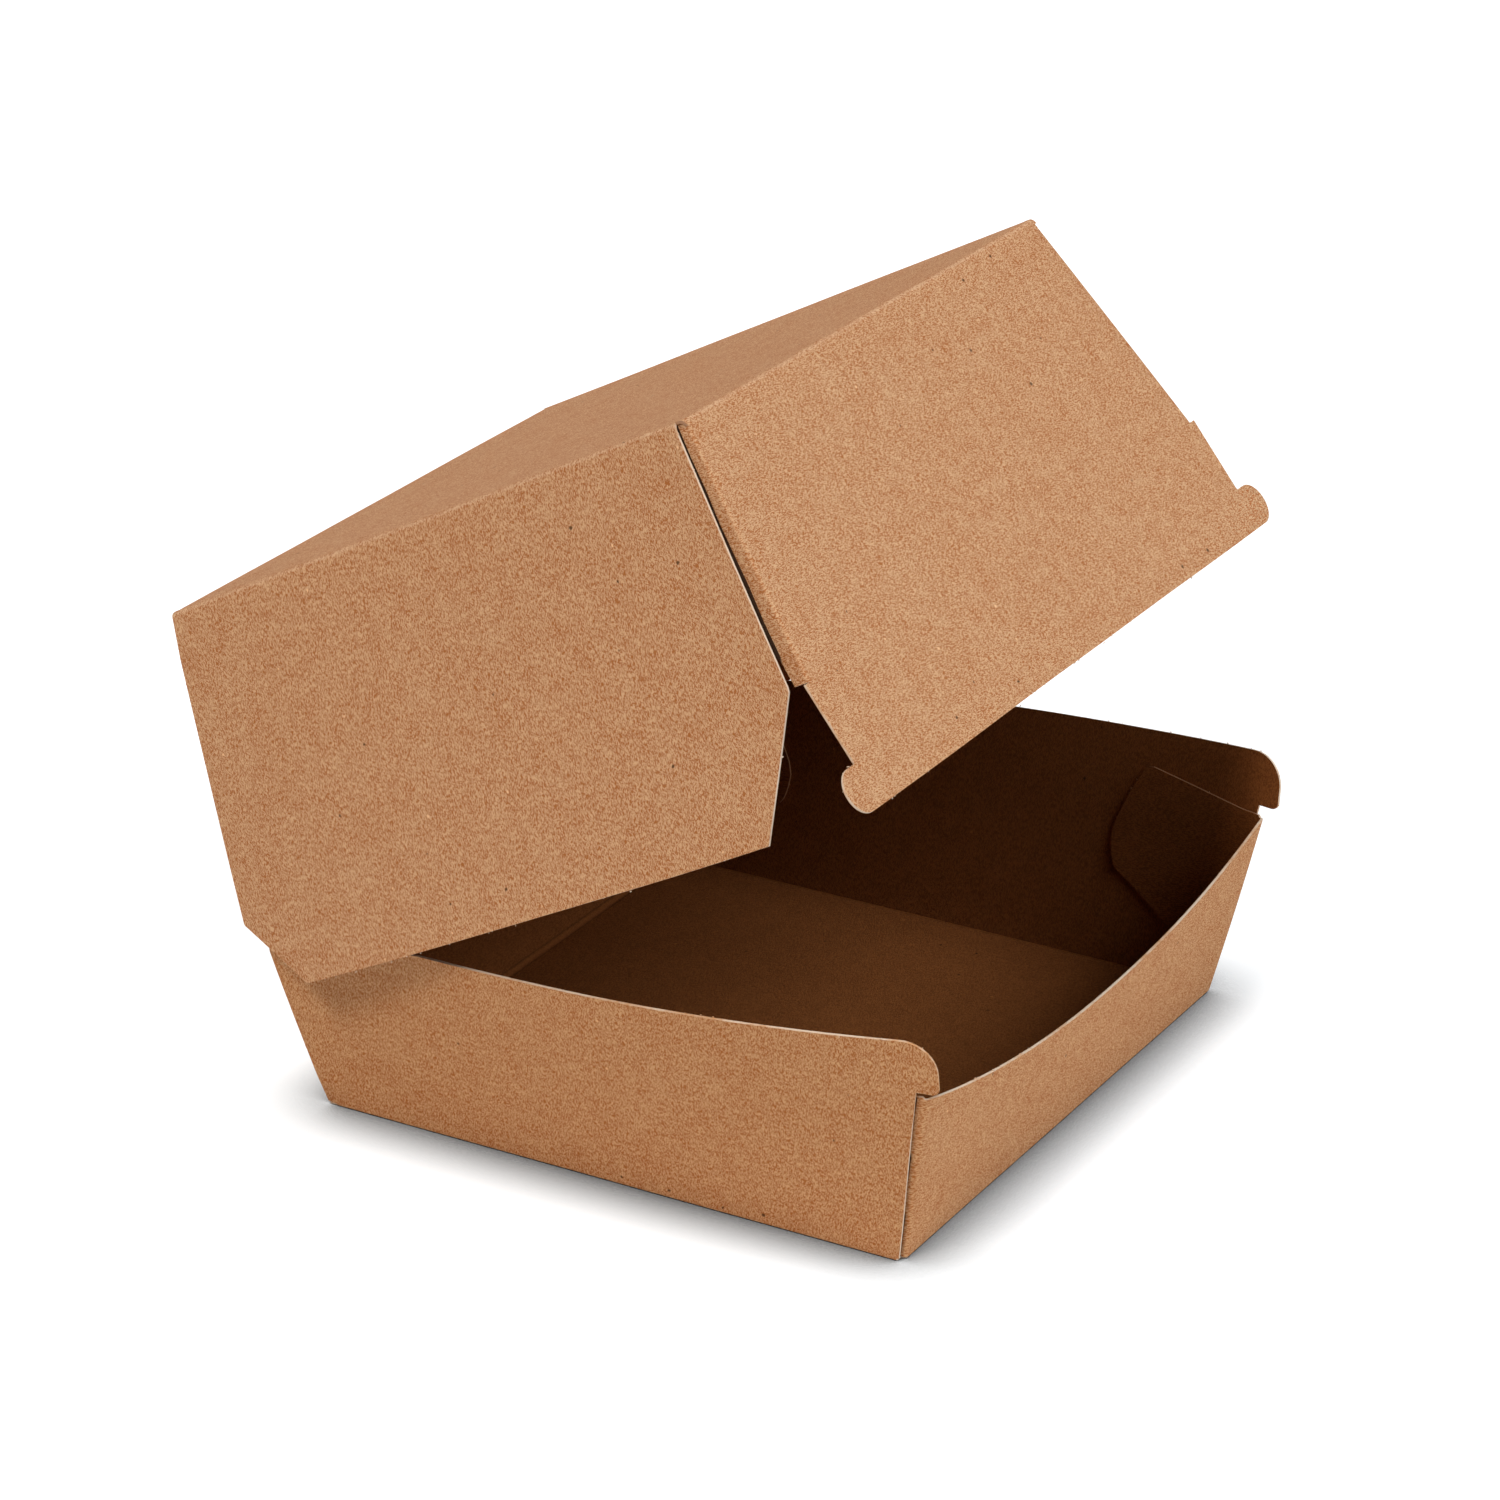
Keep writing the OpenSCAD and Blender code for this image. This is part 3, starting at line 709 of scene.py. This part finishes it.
def sheet_mesh(name, sheets, board, place=None):
    """One mesh without thickness from all sheets. Points that meet are merged."""
    vertices, faces, start = [], [], 0
    for grid, turned in sheets:
        present = ~np.isnan(grid[..., X])
        index = np.full(present.shape, -1)
        index[present] = start + np.arange(present.sum())
        vertices.append(grid[present])
        start += int(present.sum())
        for i in range(present.shape[0] - 1):
            for j in range(present.shape[1] - 1):
                ring = [index[i, j], index[i + 1, j], index[i + 1, j + 1], index[i, j + 1]]
                if min(ring) >= 0:
                    faces.append([int(v) for v in (reversed(ring) if turned else ring)])
    noise.seed_set(board.wave_seed)
    data = np.concatenate(vertices)
    places = [Vector(point[:3]) for point in data]
    if place is not None:
        places = [place @ point for point in places]
    mesh = bpy.data.meshes.new(name)
    mesh.from_pydata([point + wander(point, board) for point in places], [], faces)
    mesh.attributes.new("fold", "FLOAT", "POINT").data.foreach_set("value", data[:, FOLD].astype(np.float32))
    flat = mesh.uv_layers.new(name="blank")
    corner_vertex = np.empty(len(mesh.loops), int)
    mesh.loops.foreach_get("vertex_index", corner_vertex)
    flat.data.foreach_set("uv", data[corner_vertex][:, [FLAT_U, FLAT_V]].astype(np.float32).ravel())
    work = bmesh.new()
    work.from_mesh(mesh)
    bmesh.ops.remove_doubles(work, verts=work.verts, dist=board.merge)
    bmesh.ops.dissolve_degenerate(work, edges=work.edges, dist=board.merge / 4)
    work.to_mesh(mesh)
    work.free()
    return mesh


WANDER_START = Vector((3.1, 7.7, 1.3))
UPRIGHT_FREE, SIDEWAYS_FREE, SIDEWAYS_LOW = 0.02, 0.03, 0.35


def wander(point, board):
    """A small smooth shift, because real board is never quite flat. Near the floor it is less, and level."""
    shift = noise.noise_vector(point / board.wave_length + WANDER_START) * board.wave
    shift.z *= min(1.0, point.z / UPRIGHT_FREE)
    return shift * min(1.0, SIDEWAYS_LOW + point.z / SIDEWAYS_FREE)


def link(obj):
    bpy.context.scene.collection.objects.link(obj)
    return obj


def bake(obj, name):
    """Replaces the object's mesh by what its modifiers make of it."""
    bpy.context.view_layer.update()
    source = obj.data
    result = bpy.data.meshes.new_from_object(obj.evaluated_get(bpy.context.evaluated_depsgraph_get()))
    obj.modifiers.clear()
    obj.data = result
    bpy.data.meshes.remove(source)
    result.name = name
    return result


def solid_board(name, mesh, board, materials):
    """Lays the board's thickness on both sides of a sheet, with the cut edges in a finish of their own."""
    obj = link(bpy.data.objects.new(name, mesh))
    for material in materials:
        mesh.materials.append(material)
    body = obj.modifiers.new("Thickness", "SOLIDIFY")
    body.thickness = board.thickness
    body.offset = 0.0
    body.use_even_offset = True
    body.use_quality_normals = True
    body.material_offset = INNER
    body.material_offset_rim = EDGE
    worn = obj.modifiers.new("Worn edges", "BEVEL")
    worn.width = board.worn
    worn.segments = 1
    worn.limit_method = "ANGLE"
    worn.angle_limit = WORN_ANGLE
    worn.material = EDGE
    baked = bake(obj, name)
    baked.shade_smooth()
    baked.set_sharp_from_angle(angle=SHARP_ANGLE)
    return obj


# Height under which a cut edge gets no burrs, because they would reach into the table
BURR_FLOOR = 0.001


def cut_edges(mesh):
    """The free edges of a sheet above the table, as a mesh of edges alone."""
    work = bmesh.new()
    work.from_mesh(mesh)
    keep = {edge for edge in work.edges if edge.is_boundary and min(v.co.z for v in edge.verts) > BURR_FLOOR}
    bmesh.ops.delete(work, geom=list(work.faces), context="FACES_ONLY")
    bmesh.ops.delete(work, geom=[edge for edge in work.edges if edge not in keep], context="EDGES_FACES")
    bmesh.ops.delete(work, geom=[v for v in work.verts if not v.link_edges], context="VERTS")
    lines = bpy.data.meshes.new(mesh.name + "_edges")
    work.to_mesh(lines)
    work.free()
    return lines


class NodeTree:
    """Short ways to add and join nodes."""

    def __init__(self, tree):
        self.tree = tree

    def add(self, kind, settings=None, **inputs):
        node = self.tree.nodes.new(kind)
        for key, value in (settings or {}).items():
            setattr(node, key, value)
        for key, value in inputs.items():
            self.feed(node.inputs[int(key[1:]) if key[1:].isdigit() else key.replace("_", " ")], value)
        return node

    def feed(self, socket, value):
        if isinstance(value, bpy.types.NodeSocket):
            self.tree.links.new(value, socket)
        else:
            socket.default_value = value

    def group(self, tree, **inputs):
        return self.add("ShaderNodeGroup", {"node_tree": tree}, **inputs)

    def attribute(self, name):
        return self.add("ShaderNodeAttribute", {"attribute_name": name}).outputs["Fac"]

    def noise(self, place, scale, detail, roughness=0.5):
        values = {"Vector": place, "Scale": scale, "Detail": detail, "Roughness": roughness}
        return self.add("ShaderNodeTexNoise", **values).outputs

    def math(self, operation, a, b=0.5, c=0.0, clamp=False):
        return self.add("ShaderNodeMath", {"operation": operation, "use_clamp": clamp}, i0=a, i1=b, i2=c).outputs[0]

    def times(self, a, b):
        return self.math("MULTIPLY", a, b)

    def scaled(self, vector, factor):
        return self.add("ShaderNodeVectorMath", {"operation": "SCALE"}, i0=vector, Scale=factor).outputs[0]

    def vector(self, operation, a, b=(0.0, 0.0, 0.0)):
        return self.add("ShaderNodeVectorMath", {"operation": operation}, i0=a, i1=b).outputs[0]

    def range(self, value, low, high, to_low=0.0, to_high=1.0):
        return self.add("ShaderNodeMapRange", i0=value, i1=low, i2=high, i3=to_low, i4=to_high).outputs[0]

    def mix(self, factor, a, b):
        node = self.add("ShaderNodeMix", {"data_type": "RGBA"}, i0=factor)
        self.feed(node.inputs[6], a)
        self.feed(node.inputs[7], b)
        return node.outputs[2]


def shader_group(name, inputs, outputs):
    tree = bpy.data.node_groups.new(name, "ShaderNodeTree")
    for label, kind, default in inputs:
        socket = tree.interface.new_socket(label, in_out="INPUT", socket_type=kind)
        socket.default_value = default
    for label, kind in outputs:
        tree.interface.new_socket(label, in_out="OUTPUT", socket_type=kind)
    kit = NodeTree(tree)
    return kit, tree.nodes.new("NodeGroupInput").outputs, tree.nodes.new("NodeGroupOutput").inputs


def fibre_group():
    """Fine fibres that lie mostly along one direction, with cloudy patches, from a place in millimetres."""
    kit, given, out = shader_group(
        "Kraft fibres",
        [("Place", "NodeSocketVector", (0.0, 0.0, 0.0)), ("Fibre length", "NodeSocketFloat", 0.62),
         ("Fibre width", "NodeSocketFloat", 0.15), ("Wander", "NodeSocketFloat", 1.0),
         ("Patch size", "NodeSocketFloat", 8.0)],
        [("Fibres", "NodeSocketFloat"), ("Patches", "NodeSocketFloat")],
    )
    middle = 0.5
    drift = kit.vector("SUBTRACT", kit.noise(given["Place"], 0.45, 2.0)["Color"], (middle,) * 3)
    place = kit.vector("ADD", given["Place"], kit.scaled(drift, given["Wander"]))
    layers = []
    for turn, seed in ((0.0, 0.0), (0.8, 31.0), (-0.7, 67.0)):
        turned = kit.add("ShaderNodeVectorRotate", {"rotation_type": "Z_AXIS"}, Vector=place, Angle=turn).outputs[0]
        size = kit.add("ShaderNodeCombineXYZ", X=given["Fibre length"], Y=given["Fibre width"], Z=1.0)
        fitted = kit.vector("ADD", kit.vector("DIVIDE", turned, size.outputs[0]), (seed, seed * 1.7, seed))
        layers.append(kit.noise(fitted, 1.0, 1.6, 0.6)[0])
    main_share, other_share, broad_share = 0.42, 0.29, 0.08
    blend = kit.math("ADD", kit.times(layers[0], main_share), kit.times(layers[1], other_share))
    blend = kit.math("ADD", blend, kit.times(layers[2], other_share))
    broad = kit.noise(place, 0.42, 2.0)[0]
    blend = kit.math("ADD", blend, kit.times(kit.math("SUBTRACT", broad, middle), broad_share))
    streaks = kit.range(blend, 0.458, 0.542)
    offset = kit.math("ABSOLUTE", kit.math("SUBTRACT", kit.noise(place, 0.9, 1.0)[0], middle))
    curls = kit.times(kit.range(offset, 0.0, 0.03, 1.0, 0.0), kit.range(layers[2], 0.45, 0.6))
    kit.feed(out["Fibres"], kit.math("ADD", streaks, kit.times(curls, 0.5), clamp=True))
    patches = kit.noise(given["Place"], kit.math("DIVIDE", 1.0, given["Patch size"]), 3.0, 0.55)
    kit.feed(out["Patches"], patches[0])
    return kit.tree


def speck_group():
    """Sparse small specks: a mask from a place in millimetres."""
    kit, given, out = shader_group(
        "Board specks",
        [("Place", "NodeSocketVector", (0.0, 0.0, 0.0)), ("Spacing", "NodeSocketFloat", 9.0),
         ("Size", "NodeSocketFloat", 0.22), ("Share", "NodeSocketFloat", 0.35)],
        [("Mask", "NodeSocketFloat")],
    )
    jitter = kit.scaled(kit.noise(given["Place"], 3.2, 1.0)["Color"], 0.45)
    cells = kit.add(
        "ShaderNodeTexVoronoi", {"voronoi_dimensions": "2D"},
        Vector=kit.vector("ADD", given["Place"], jitter), Scale=kit.math("DIVIDE", 1.0, given["Spacing"]),
    )
    apart = kit.times(cells.outputs["Distance"], given["Spacing"])
    own = kit.add("ShaderNodeSeparateColor", Color=cells.outputs["Color"])
    size = kit.times(given["Size"], kit.math("ADD", own.outputs[1], 0.4))
    inside = kit.range(apart, kit.times(size, 0.6), size, 1.0, 0.0)
    kit.feed(out["Mask"], kit.times(inside, kit.math("LESS_THAN", own.outputs[0], given["Share"])))
    return kit.tree


def fresh_kit(owner):
    """The nodes of a new material or world, emptied first."""
    owner.use_nodes = True
    owner.node_tree.nodes.clear()
    return NodeTree(owner.node_tree)


def new_material(name):
    material = bpy.data.materials.new(name)
    kit = fresh_kit(material)
    shader = kit.add("ShaderNodeBsdfPrincipled")
    kit.add("ShaderNodeOutputMaterial", Surface=shader.outputs[0])
    return material, kit, shader


def rgb(value, factor=1.0):
    """A colour with its alpha, darker or lighter by a factor but never lighter than board can be."""
    brightest = 0.9 if factor != 1.0 else 1.0
    return (*(min(brightest, factor * part) for part in value), 1.0)


def finish_board(kit, shader, base, grain, roughness, gloss, bump_depth):
    """Feeds the colour and the grain's bump to a board's shader."""
    kit.feed(shader.inputs["Base Color"], base)
    shader.inputs["Roughness"].default_value = roughness
    shader.inputs["Specular IOR Level"].default_value = gloss
    bump = kit.add("ShaderNodeBump", Strength=0.5, Distance=bump_depth, Height=grain)
    kit.feed(shader.inputs["Normal"], bump.outputs[0])


def kraft_material(name, look, dark, light, shift, inner=False):
    """A face of the board: fibres, cloudy patches, specks and flecks.

    On the outer face folds are rubbed pale, and the glued parts of flaps are painted dark as shade. On the inner
    face each fold has a painted crease shade, a dark line on each side, and a paler painted highlight on its crown.
    """
    fibre_tree = bpy.data.node_groups.get("Kraft fibres") or fibre_group()
    speck_tree = bpy.data.node_groups.get("Board specks") or speck_group()
    per_metre = 1000.0
    material, kit, shader = new_material(name)
    flat = kit.add("ShaderNodeUVMap", {"uv_map": "blank"}).outputs[0]
    place = kit.add("ShaderNodeMapping", Vector=flat, Location=shift, Scale=(per_metre,) * 3).outputs[0]
    grain = kit.group(fibre_tree, Place=place).outputs
    fibres = grain["Fibres"]
    patches = kit.range(grain["Patches"], 0.3, 0.7, -look.patchiness, look.patchiness)
    base = kit.mix(kit.math("ADD", fibres, patches, clamp=True), rgb(dark), rgb(light))
    # Nearness to a fold: where the painted crease shade beside it is darkest and ends, and where its crown starts,
    # rubbed pale outside and with a painted highlight inside
    shade_line_peak, shade_line_end, crown = 0.3, 0.75, 0.6
    fold = kit.attribute("fold")
    on_fold = kit.range(fold, crown, 1.0)
    if inner:
        # Painted crease shade: a dark line on each side of an inner fold, then a painted highlight on its crown
        line = kit.times(kit.range(fold, 0.0, shade_line_peak), kit.range(fold, shade_line_peak, shade_line_end, 1.0, 0.0))
        base = kit.mix(kit.times(line, 0.5), base, rgb(dark, 0.35))
        base = kit.mix(kit.times(on_fold, 0.4), base, rgb(light, 1.2))
    else:
        rubbed = kit.times(on_fold, kit.range(fibres, 0.1, 0.8, 0.1, 0.7))
        base = kit.mix(rubbed, base, rgb([0.5 * a + 0.5 * b for a, b in zip(look.fold_pale, light)]))
        # Painted shade: the glued part of a flap, seen only through the slit under its cover's edge, is made nearly
        # black
        base = kit.mix(kit.range(fold, HIDDEN_SHADE, HIDDEN_SHADE_LIMIT, 0.95, 0.0), base, rgb(dark, 0.04))
    fleck_shift = (211.0, 47.0, 0.0)
    flecks = kit.group(speck_tree, Place=kit.vector("ADD", place, fleck_shift), Size=0.22, Share=0.2).outputs[0]
    base = kit.mix(kit.times(flecks, 0.8), base, rgb(light, 1.4))
    specks = kit.group(speck_tree, Place=place, Size=0.26, Share=0.16).outputs[0]
    base = kit.mix(kit.times(specks, 0.85), base, rgb(dark, 0.16))
    finish_board(kit, shader, base, fibres, look.roughness, 0.08 if inner else 0.2, 0.00009)
    return material


def edge_material(look):
    """The cut edge: pale core with brown streaks."""
    material, kit, shader = new_material("kraft_cut_edge")
    place = kit.add("ShaderNodeTexCoord").outputs["Object"]
    coarse = kit.noise(place, 900.0, 3.0, 0.7)[0]
    stretch = kit.noise(place, 75.0, 2.0)[0]
    streak = kit.range(kit.math("ADD", kit.times(coarse, 0.5), stretch), 0.72, 0.95)
    base = kit.mix(streak, rgb(look.edge_pale), rgb(look.edge_brown))
    # Painted shade: the cut edges of glue flaps and tucked tabs, which lie in shade, are darker
    flap_edge_shade = kit.range(kit.attribute("fold"), HIDDEN_SHADE_LIMIT, -0.1, 1.0, 0.0)
    base = kit.mix(flap_edge_shade, base, rgb(look.edge_flap_shade))
    finish_board(kit, shader, base, coarse, 0.9, 0.2, 0.00008)
    return material


def board_materials(look, part):
    """The finishes of one part: outer face, inner face and cut edge."""
    inner_shift, outer_shift = (613.0, 127.0, 5.0), (0.0, 0.0, 0.0)
    names = (part + "_outside", "kraft_inside", "kraft_cut_edge")
    ready = [bpy.data.materials.get(name) for name in names]
    if ready[INNER] is None:
        dark, light = look.inside_dark, look.inside_light
        ready[INNER] = kraft_material(names[INNER], look, dark, light, inner_shift, inner=True)
        ready[EDGE] = edge_material(look)
    if ready[OUTER] is None:
        # Painted shade: the tray's copy of the outer face gets the deeper tint
        tone = look.tray_shade_tint if part == "tray" else (1.0, 1.0, 1.0)
        dark = [a * b for a, b in zip(look.outside_dark, tone)]
        light = [a * b for a, b in zip(look.outside_light, tone)]
        ready[OUTER] = kraft_material(names[OUTER], look, dark, light, outer_shift)
    return ready


def burr_tree(material):
    """Geometry nodes: small torn flakes scattered along the cut edges."""
    tree = bpy.data.node_groups.new("Edge burrs", "GeometryNodeTree")
    tree.interface.new_socket("Edges", in_out="INPUT", socket_type="NodeSocketGeometry")
    for label, kind, default in (("Step", "NodeSocketFloat", 0.004), ("Size", "NodeSocketFloat", 0.0002),
                                 ("Seed", "NodeSocketInt", 1)):
        tree.interface.new_socket(label, in_out="INPUT", socket_type=kind).default_value = default
    tree.interface.new_socket("Burrs", in_out="OUTPUT", socket_type="NodeSocketGeometry")
    kit = NodeTree(tree)
    given = tree.nodes.new("NodeGroupInput").outputs
    out = tree.nodes.new("NodeGroupOutput").inputs

    def random(kind, low, high, seed):
        node = kit.add("FunctionNodeRandomValue", {"data_type": kind})
        first = {"FLOAT_VECTOR": 0, "FLOAT": 2}[kind]
        kit.feed(node.inputs[first], low)
        kit.feed(node.inputs[first + 1], high)
        kit.feed(node.inputs["Seed"], kit.math("ADD", given["Seed"], seed))
        return node.outputs[0 if kind == "FLOAT_VECTOR" else 1]

    kept_share, smallest, full_turn, flake_shape = 0.25, 0.25, 6.3, (1.5, 0.8, 0.5)
    curve = kit.add("GeometryNodeMeshToCurve", Mesh=given["Edges"]).outputs[0]
    fine = kit.times(given["Step"], kept_share)
    dots = kit.add("GeometryNodeCurveToPoints", {"mode": "LENGTH"}, Curve=curve, Length=fine).outputs[0]
    drop = kit.math("GREATER_THAN", random("FLOAT", 0.0, 1.0, 3), kept_share)
    kept = kit.add("GeometryNodeDeleteGeometry", {"domain": "POINT"}, Geometry=dots, Selection=drop).outputs[0]
    nudge = kit.scaled(random("FLOAT_VECTOR", (-1.0,) * 3, (1.0,) * 3, 11), given["Size"])
    moved = kit.add("GeometryNodeSetPosition", Geometry=kept, Offset=nudge).outputs[0]
    flake = kit.add("GeometryNodeMeshIcoSphere", Radius=1.0, Subdivisions=1).outputs[0]
    squeezed = kit.add("GeometryNodeTransform", Geometry=flake, Scale=flake_shape).outputs[0]
    bits = kit.add(
        "GeometryNodeInstanceOnPoints", Points=moved, Instance=squeezed,
        Rotation=random("FLOAT_VECTOR", (0.0,) * 3, (full_turn,) * 3, 5),
        Scale=kit.times(given["Size"], random("FLOAT", smallest, 1.0, 9)),
    ).outputs[0]
    real = kit.add("GeometryNodeRealizeInstances", Geometry=bits).outputs[0]
    painted = kit.add("GeometryNodeSetMaterial", Geometry=real, Material=material).outputs[0]
    kit.feed(out[0], painted)
    return tree


def edge_burrs(name, lines, look, material):
    """A mesh of burrs along the edges in lines."""
    obj = link(bpy.data.objects.new(name, lines))
    tree = bpy.data.node_groups.get("Edge burrs") or burr_tree(material)
    burrs = obj.modifiers.new("Burrs", "NODES")
    burrs.node_group = tree
    values = {"Step": look.burr_step, "Size": look.burr_size, "Seed": look.burr_seed}
    for item in tree.interface.items_tree:
        if item.in_out == "INPUT" and item.name in values:
            burrs[item.identifier] = values[item.name]
    bake(obj, name)
    return obj


def board_and_burrs(part, sheets, scene, place=None):
    """The board of one part and the burrs on its cut edges, as two objects."""
    board, look = scene.takeaway_board, scene.takeaway_kraft
    materials = board_materials(look, part)
    mesh = sheet_mesh(part + "_board", sheets, board, place)
    lines = cut_edges(mesh)
    solid = solid_board(part + "_board", mesh, board, materials)
    return solid, edge_burrs(part + "_burrs", lines, look, materials[EDGE])


def open_lid(lid, form):
    """From the crease's frame to the row frame, with the lid open as it rests."""
    hinge = Matrix.Translation((0, form.hinge_y, form.tray.hinge_h))
    return hinge @ Matrix.Rotation(-lid.opened, 4, "X")


class TRAY_OT_build(Operator):
    """Build the tray: floor, walls with hooks, and glue flaps"""

    bl_idname = "takeaway.tray"
    bl_label = "Tray"

    def execute(self, context):
        scene = context.scene
        form = TrayForm(scene.takeaway_tray, scene.takeaway_board)
        tray, burrs = board_and_burrs("tray", tray_sheets(form), scene)
        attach(tray, "tray")
        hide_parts("tray")
        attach(burrs, "tray")
        return {"FINISHED"}


class LID_OT_build(Operator):
    """Build the lid: top panel, walls with ears, and glue flaps"""

    bl_idname = "takeaway.lid"
    bl_label = "Lid"

    def execute(self, context):
        scene = context.scene
        tray_form = TrayForm(scene.takeaway_tray, scene.takeaway_board)
        form = LidForm(scene.takeaway_lid, tray_form, scene.takeaway_board)
        lid, burrs = board_and_burrs("lid", lid_sheets(form), scene, open_lid(scene.takeaway_lid, tray_form))
        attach(lid, "lid")
        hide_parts("lid")
        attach(burrs, "lid")
        return {"FINISHED"}


class CREASE_OT_build(Operator):
    """Build the strip of board that bends between the tray and the lid"""

    bl_idname = "takeaway.crease"
    bl_label = "Crease"

    def execute(self, context):
        scene = context.scene
        board, look, lid = scene.takeaway_board, scene.takeaway_kraft, scene.takeaway_lid
        form = TrayForm(scene.takeaway_tray, board)
        hinge_h = form.tray.hinge_h
        half = float(form.flap_x(form.hinge_y, hinge_h)) - board.fold_run
        low = Vector((0, float(form.back_y(0, form.back_rim)), form.back_rim))
        axis = Vector((0, form.hinge_y, hinge_h))
        back_slope = math.tan(lid.back_lean)
        high = open_lid(lid, form) @ Vector((0, -lid.crease_edge * back_slope, lid.crease_edge))
        strip_step, flat_low, flat_part, bend_steps = 0.004, 0.0777, 0.0006, 8
        columns = []
        for x in spread(-half, half, strip_step):
            ends = [points(x, p.y, p.z, x, flat_low + i * flat_part) for i, p in enumerate((low, axis, high))]
            columns.append(np.stack(bend(*ends, bend_steps)))
        mesh = sheet_mesh("crease_strip", [(np.stack(columns), True)], board)
        strip = solid_board("crease_strip", mesh, board, board_materials(look, "lid"))
        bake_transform(strip)
        return {"FINISHED"}


def direction(azimuth, height):
    """The unit vector at an angle from the front towards the right, and at a height above the floor."""
    level = math.cos(height)
    return Vector((math.sin(azimuth) * level, -math.cos(azimuth) * level, math.sin(height)))


# How wide each light looks from the box, in degrees
SOFTNESS = {"front": 35, "left": 16, "back": 30}


class STAGE_OT_build(Operator):
    """Build the floor, the light and the camera"""

    bl_idname = "takeaway.stage"
    bl_label = "Stage"

    def execute(self, context):
        scene = context.scene
        look = scene.takeaway_stage
        self.floor(look)
        self.world(scene, look)
        for side, softness in SOFTNESS.items():
            aim = (getattr(look, side + "_azimuth"), getattr(look, side + "_height"))
            self.sun(side + "_light", getattr(look, side), *aim, getattr(look, side + "_tint"), softness)
        self.camera(scene, look)
        scene.view_settings.view_transform = "Standard"
        return {"FINISHED"}

    def seen(self, kit):
        """One where the camera or a reflection sees the surface, and nought where it lights the box."""
        rays = kit.add("ShaderNodeLightPath").outputs
        return kit.math("ADD", rays["Is Camera Ray"], rays["Is Glossy Ray"], clamp=True)

    def floor(self, look):
        half = look.floor_size / 2
        mesh = bpy.data.meshes.new("floor")
        corners = [(-half, -half, 0), (half, -half, 0), (half, half, 0), (-half, half, 0)]
        mesh.from_pydata(corners, [], [(0, 1, 2, 3)])
        floor = link(bpy.data.objects.new("floor", mesh))
        material = bpy.data.materials.new("white_floor")
        kit = fresh_kit(material)
        seen = self.seen(kit)
        # Painted contact shadow: ambient occlusion darkens the floor's seen colour and lift near the box
        open_share = kit.add("ShaderNodeAmbientOcclusion", {"samples": 4}, Distance=look.contact_shadow).outputs["AO"]
        darkest, clear = 0.27, 0.95
        shade = kit.range(open_share, darkest, clear)
        seen_colour = kit.mix(shade, rgb((0.0, 0.0, 0.0)), rgb(look.floor_seen))
        own = kit.add("ShaderNodeBsdfDiffuse", Color=kit.mix(seen, rgb((look.floor_white,) * 3), seen_colour))
        glow = kit.add("ShaderNodeEmission", Strength=kit.times(kit.times(seen, shade), look.floor_lift))
        both = kit.add("ShaderNodeAddShader", i0=own.outputs[0], i1=glow.outputs[0])
        kit.add("ShaderNodeOutputMaterial", Surface=both.outputs[0])
        mesh.materials.append(material)

    def world(self, scene, look):
        world = bpy.data.worlds.new("studio")
        kit = fresh_kit(world)
        strength = kit.range(self.seen(kit), 0.0, 1.0, look.sky, 1.0)
        sky = kit.add("ShaderNodeBackground", Color=rgb((1.0, 1.0, 1.0)), Strength=strength)
        kit.add("ShaderNodeOutputWorld", Surface=sky.outputs[0])
        scene.world = world

    def sun(self, name, strength, azimuth, height, tint, softness):
        light = bpy.data.lights.new(name, "SUN")
        light.energy = strength
        light.color = tint
        light.angle = math.radians(softness)
        obj = link(bpy.data.objects.new(name, light))
        towards = direction(azimuth, height)
        obj.rotation_euler = towards.to_track_quat("Z", "Y").to_euler()
        obj.location = towards

    def camera(self, scene, look):
        data = bpy.data.cameras.new("camera")
        data.sensor_width = 36.0
        data.lens = look.lens
        data.clip_end = 50.0
        camera = link(bpy.data.objects.new("camera", data))
        back = direction(look.azimuth, look.height)
        right = Vector((math.cos(look.azimuth), math.sin(look.azimuth), 0.0))
        up = back.cross(right)
        turn = Matrix((right, up, back)).transposed().to_4x4()
        eye = right * look.across + up * look.up + back * look.distance
        camera.matrix_world = Matrix.Translation(eye) @ turn
        scene.camera = camera


class TAKEAWAY_PT_panel(Panel):
    """Sizes, finishes and steps of the takeaway box"""

    bl_idname = "TAKEAWAY_PT_panel"
    bl_label = "Takeaway box"
    bl_space_type = "VIEW_3D"
    bl_region_type = "UI"
    bl_category = "Takeaway box"

    def draw(self, context):
        layout = self.layout
        for operator in OPERATORS:
            layout.operator(operator.bl_idname)
        for label, holder in HOLDERS.items():
            box = layout.box()
            group = getattr(context.scene, holder[0])
            box.label(text=label)
            for name in group.bl_rna.properties.keys():
                if name not in ("rna_type", "name"):
                    box.prop(group, name)


OPERATORS = (TRAY_OT_build, LID_OT_build, CREASE_OT_build, STAGE_OT_build)
HOLDERS = {
    "Board": ("takeaway_board", BoardSizes),
    "Tray": ("takeaway_tray", TraySizes),
    "Lid": ("takeaway_lid", LidSizes),
    "Kraft": ("takeaway_kraft", KraftLook),
    "Stage": ("takeaway_stage", StageLook),
}


def register():
    for name, group in HOLDERS.values():
        bpy.utils.register_class(group)
        setattr(bpy.types.Scene, name, PointerProperty(type=group))
    for operator in OPERATORS:
        bpy.utils.register_class(operator)
    bpy.utils.register_class(TAKEAWAY_PT_panel)


def unregister():
    bpy.utils.unregister_class(TAKEAWAY_PT_panel)
    for operator in reversed(OPERATORS):
        bpy.utils.unregister_class(operator)
    for name, group in HOLDERS.values():
        delattr(bpy.types.Scene, name)
        bpy.utils.unregister_class(group)


def main():
    register()
    bpy.ops.takeaway.tray()
    bpy.ops.takeaway.lid()
    bpy.ops.takeaway.crease()
    bpy.ops.takeaway.stage()


if __name__ == "__main__":
    main()
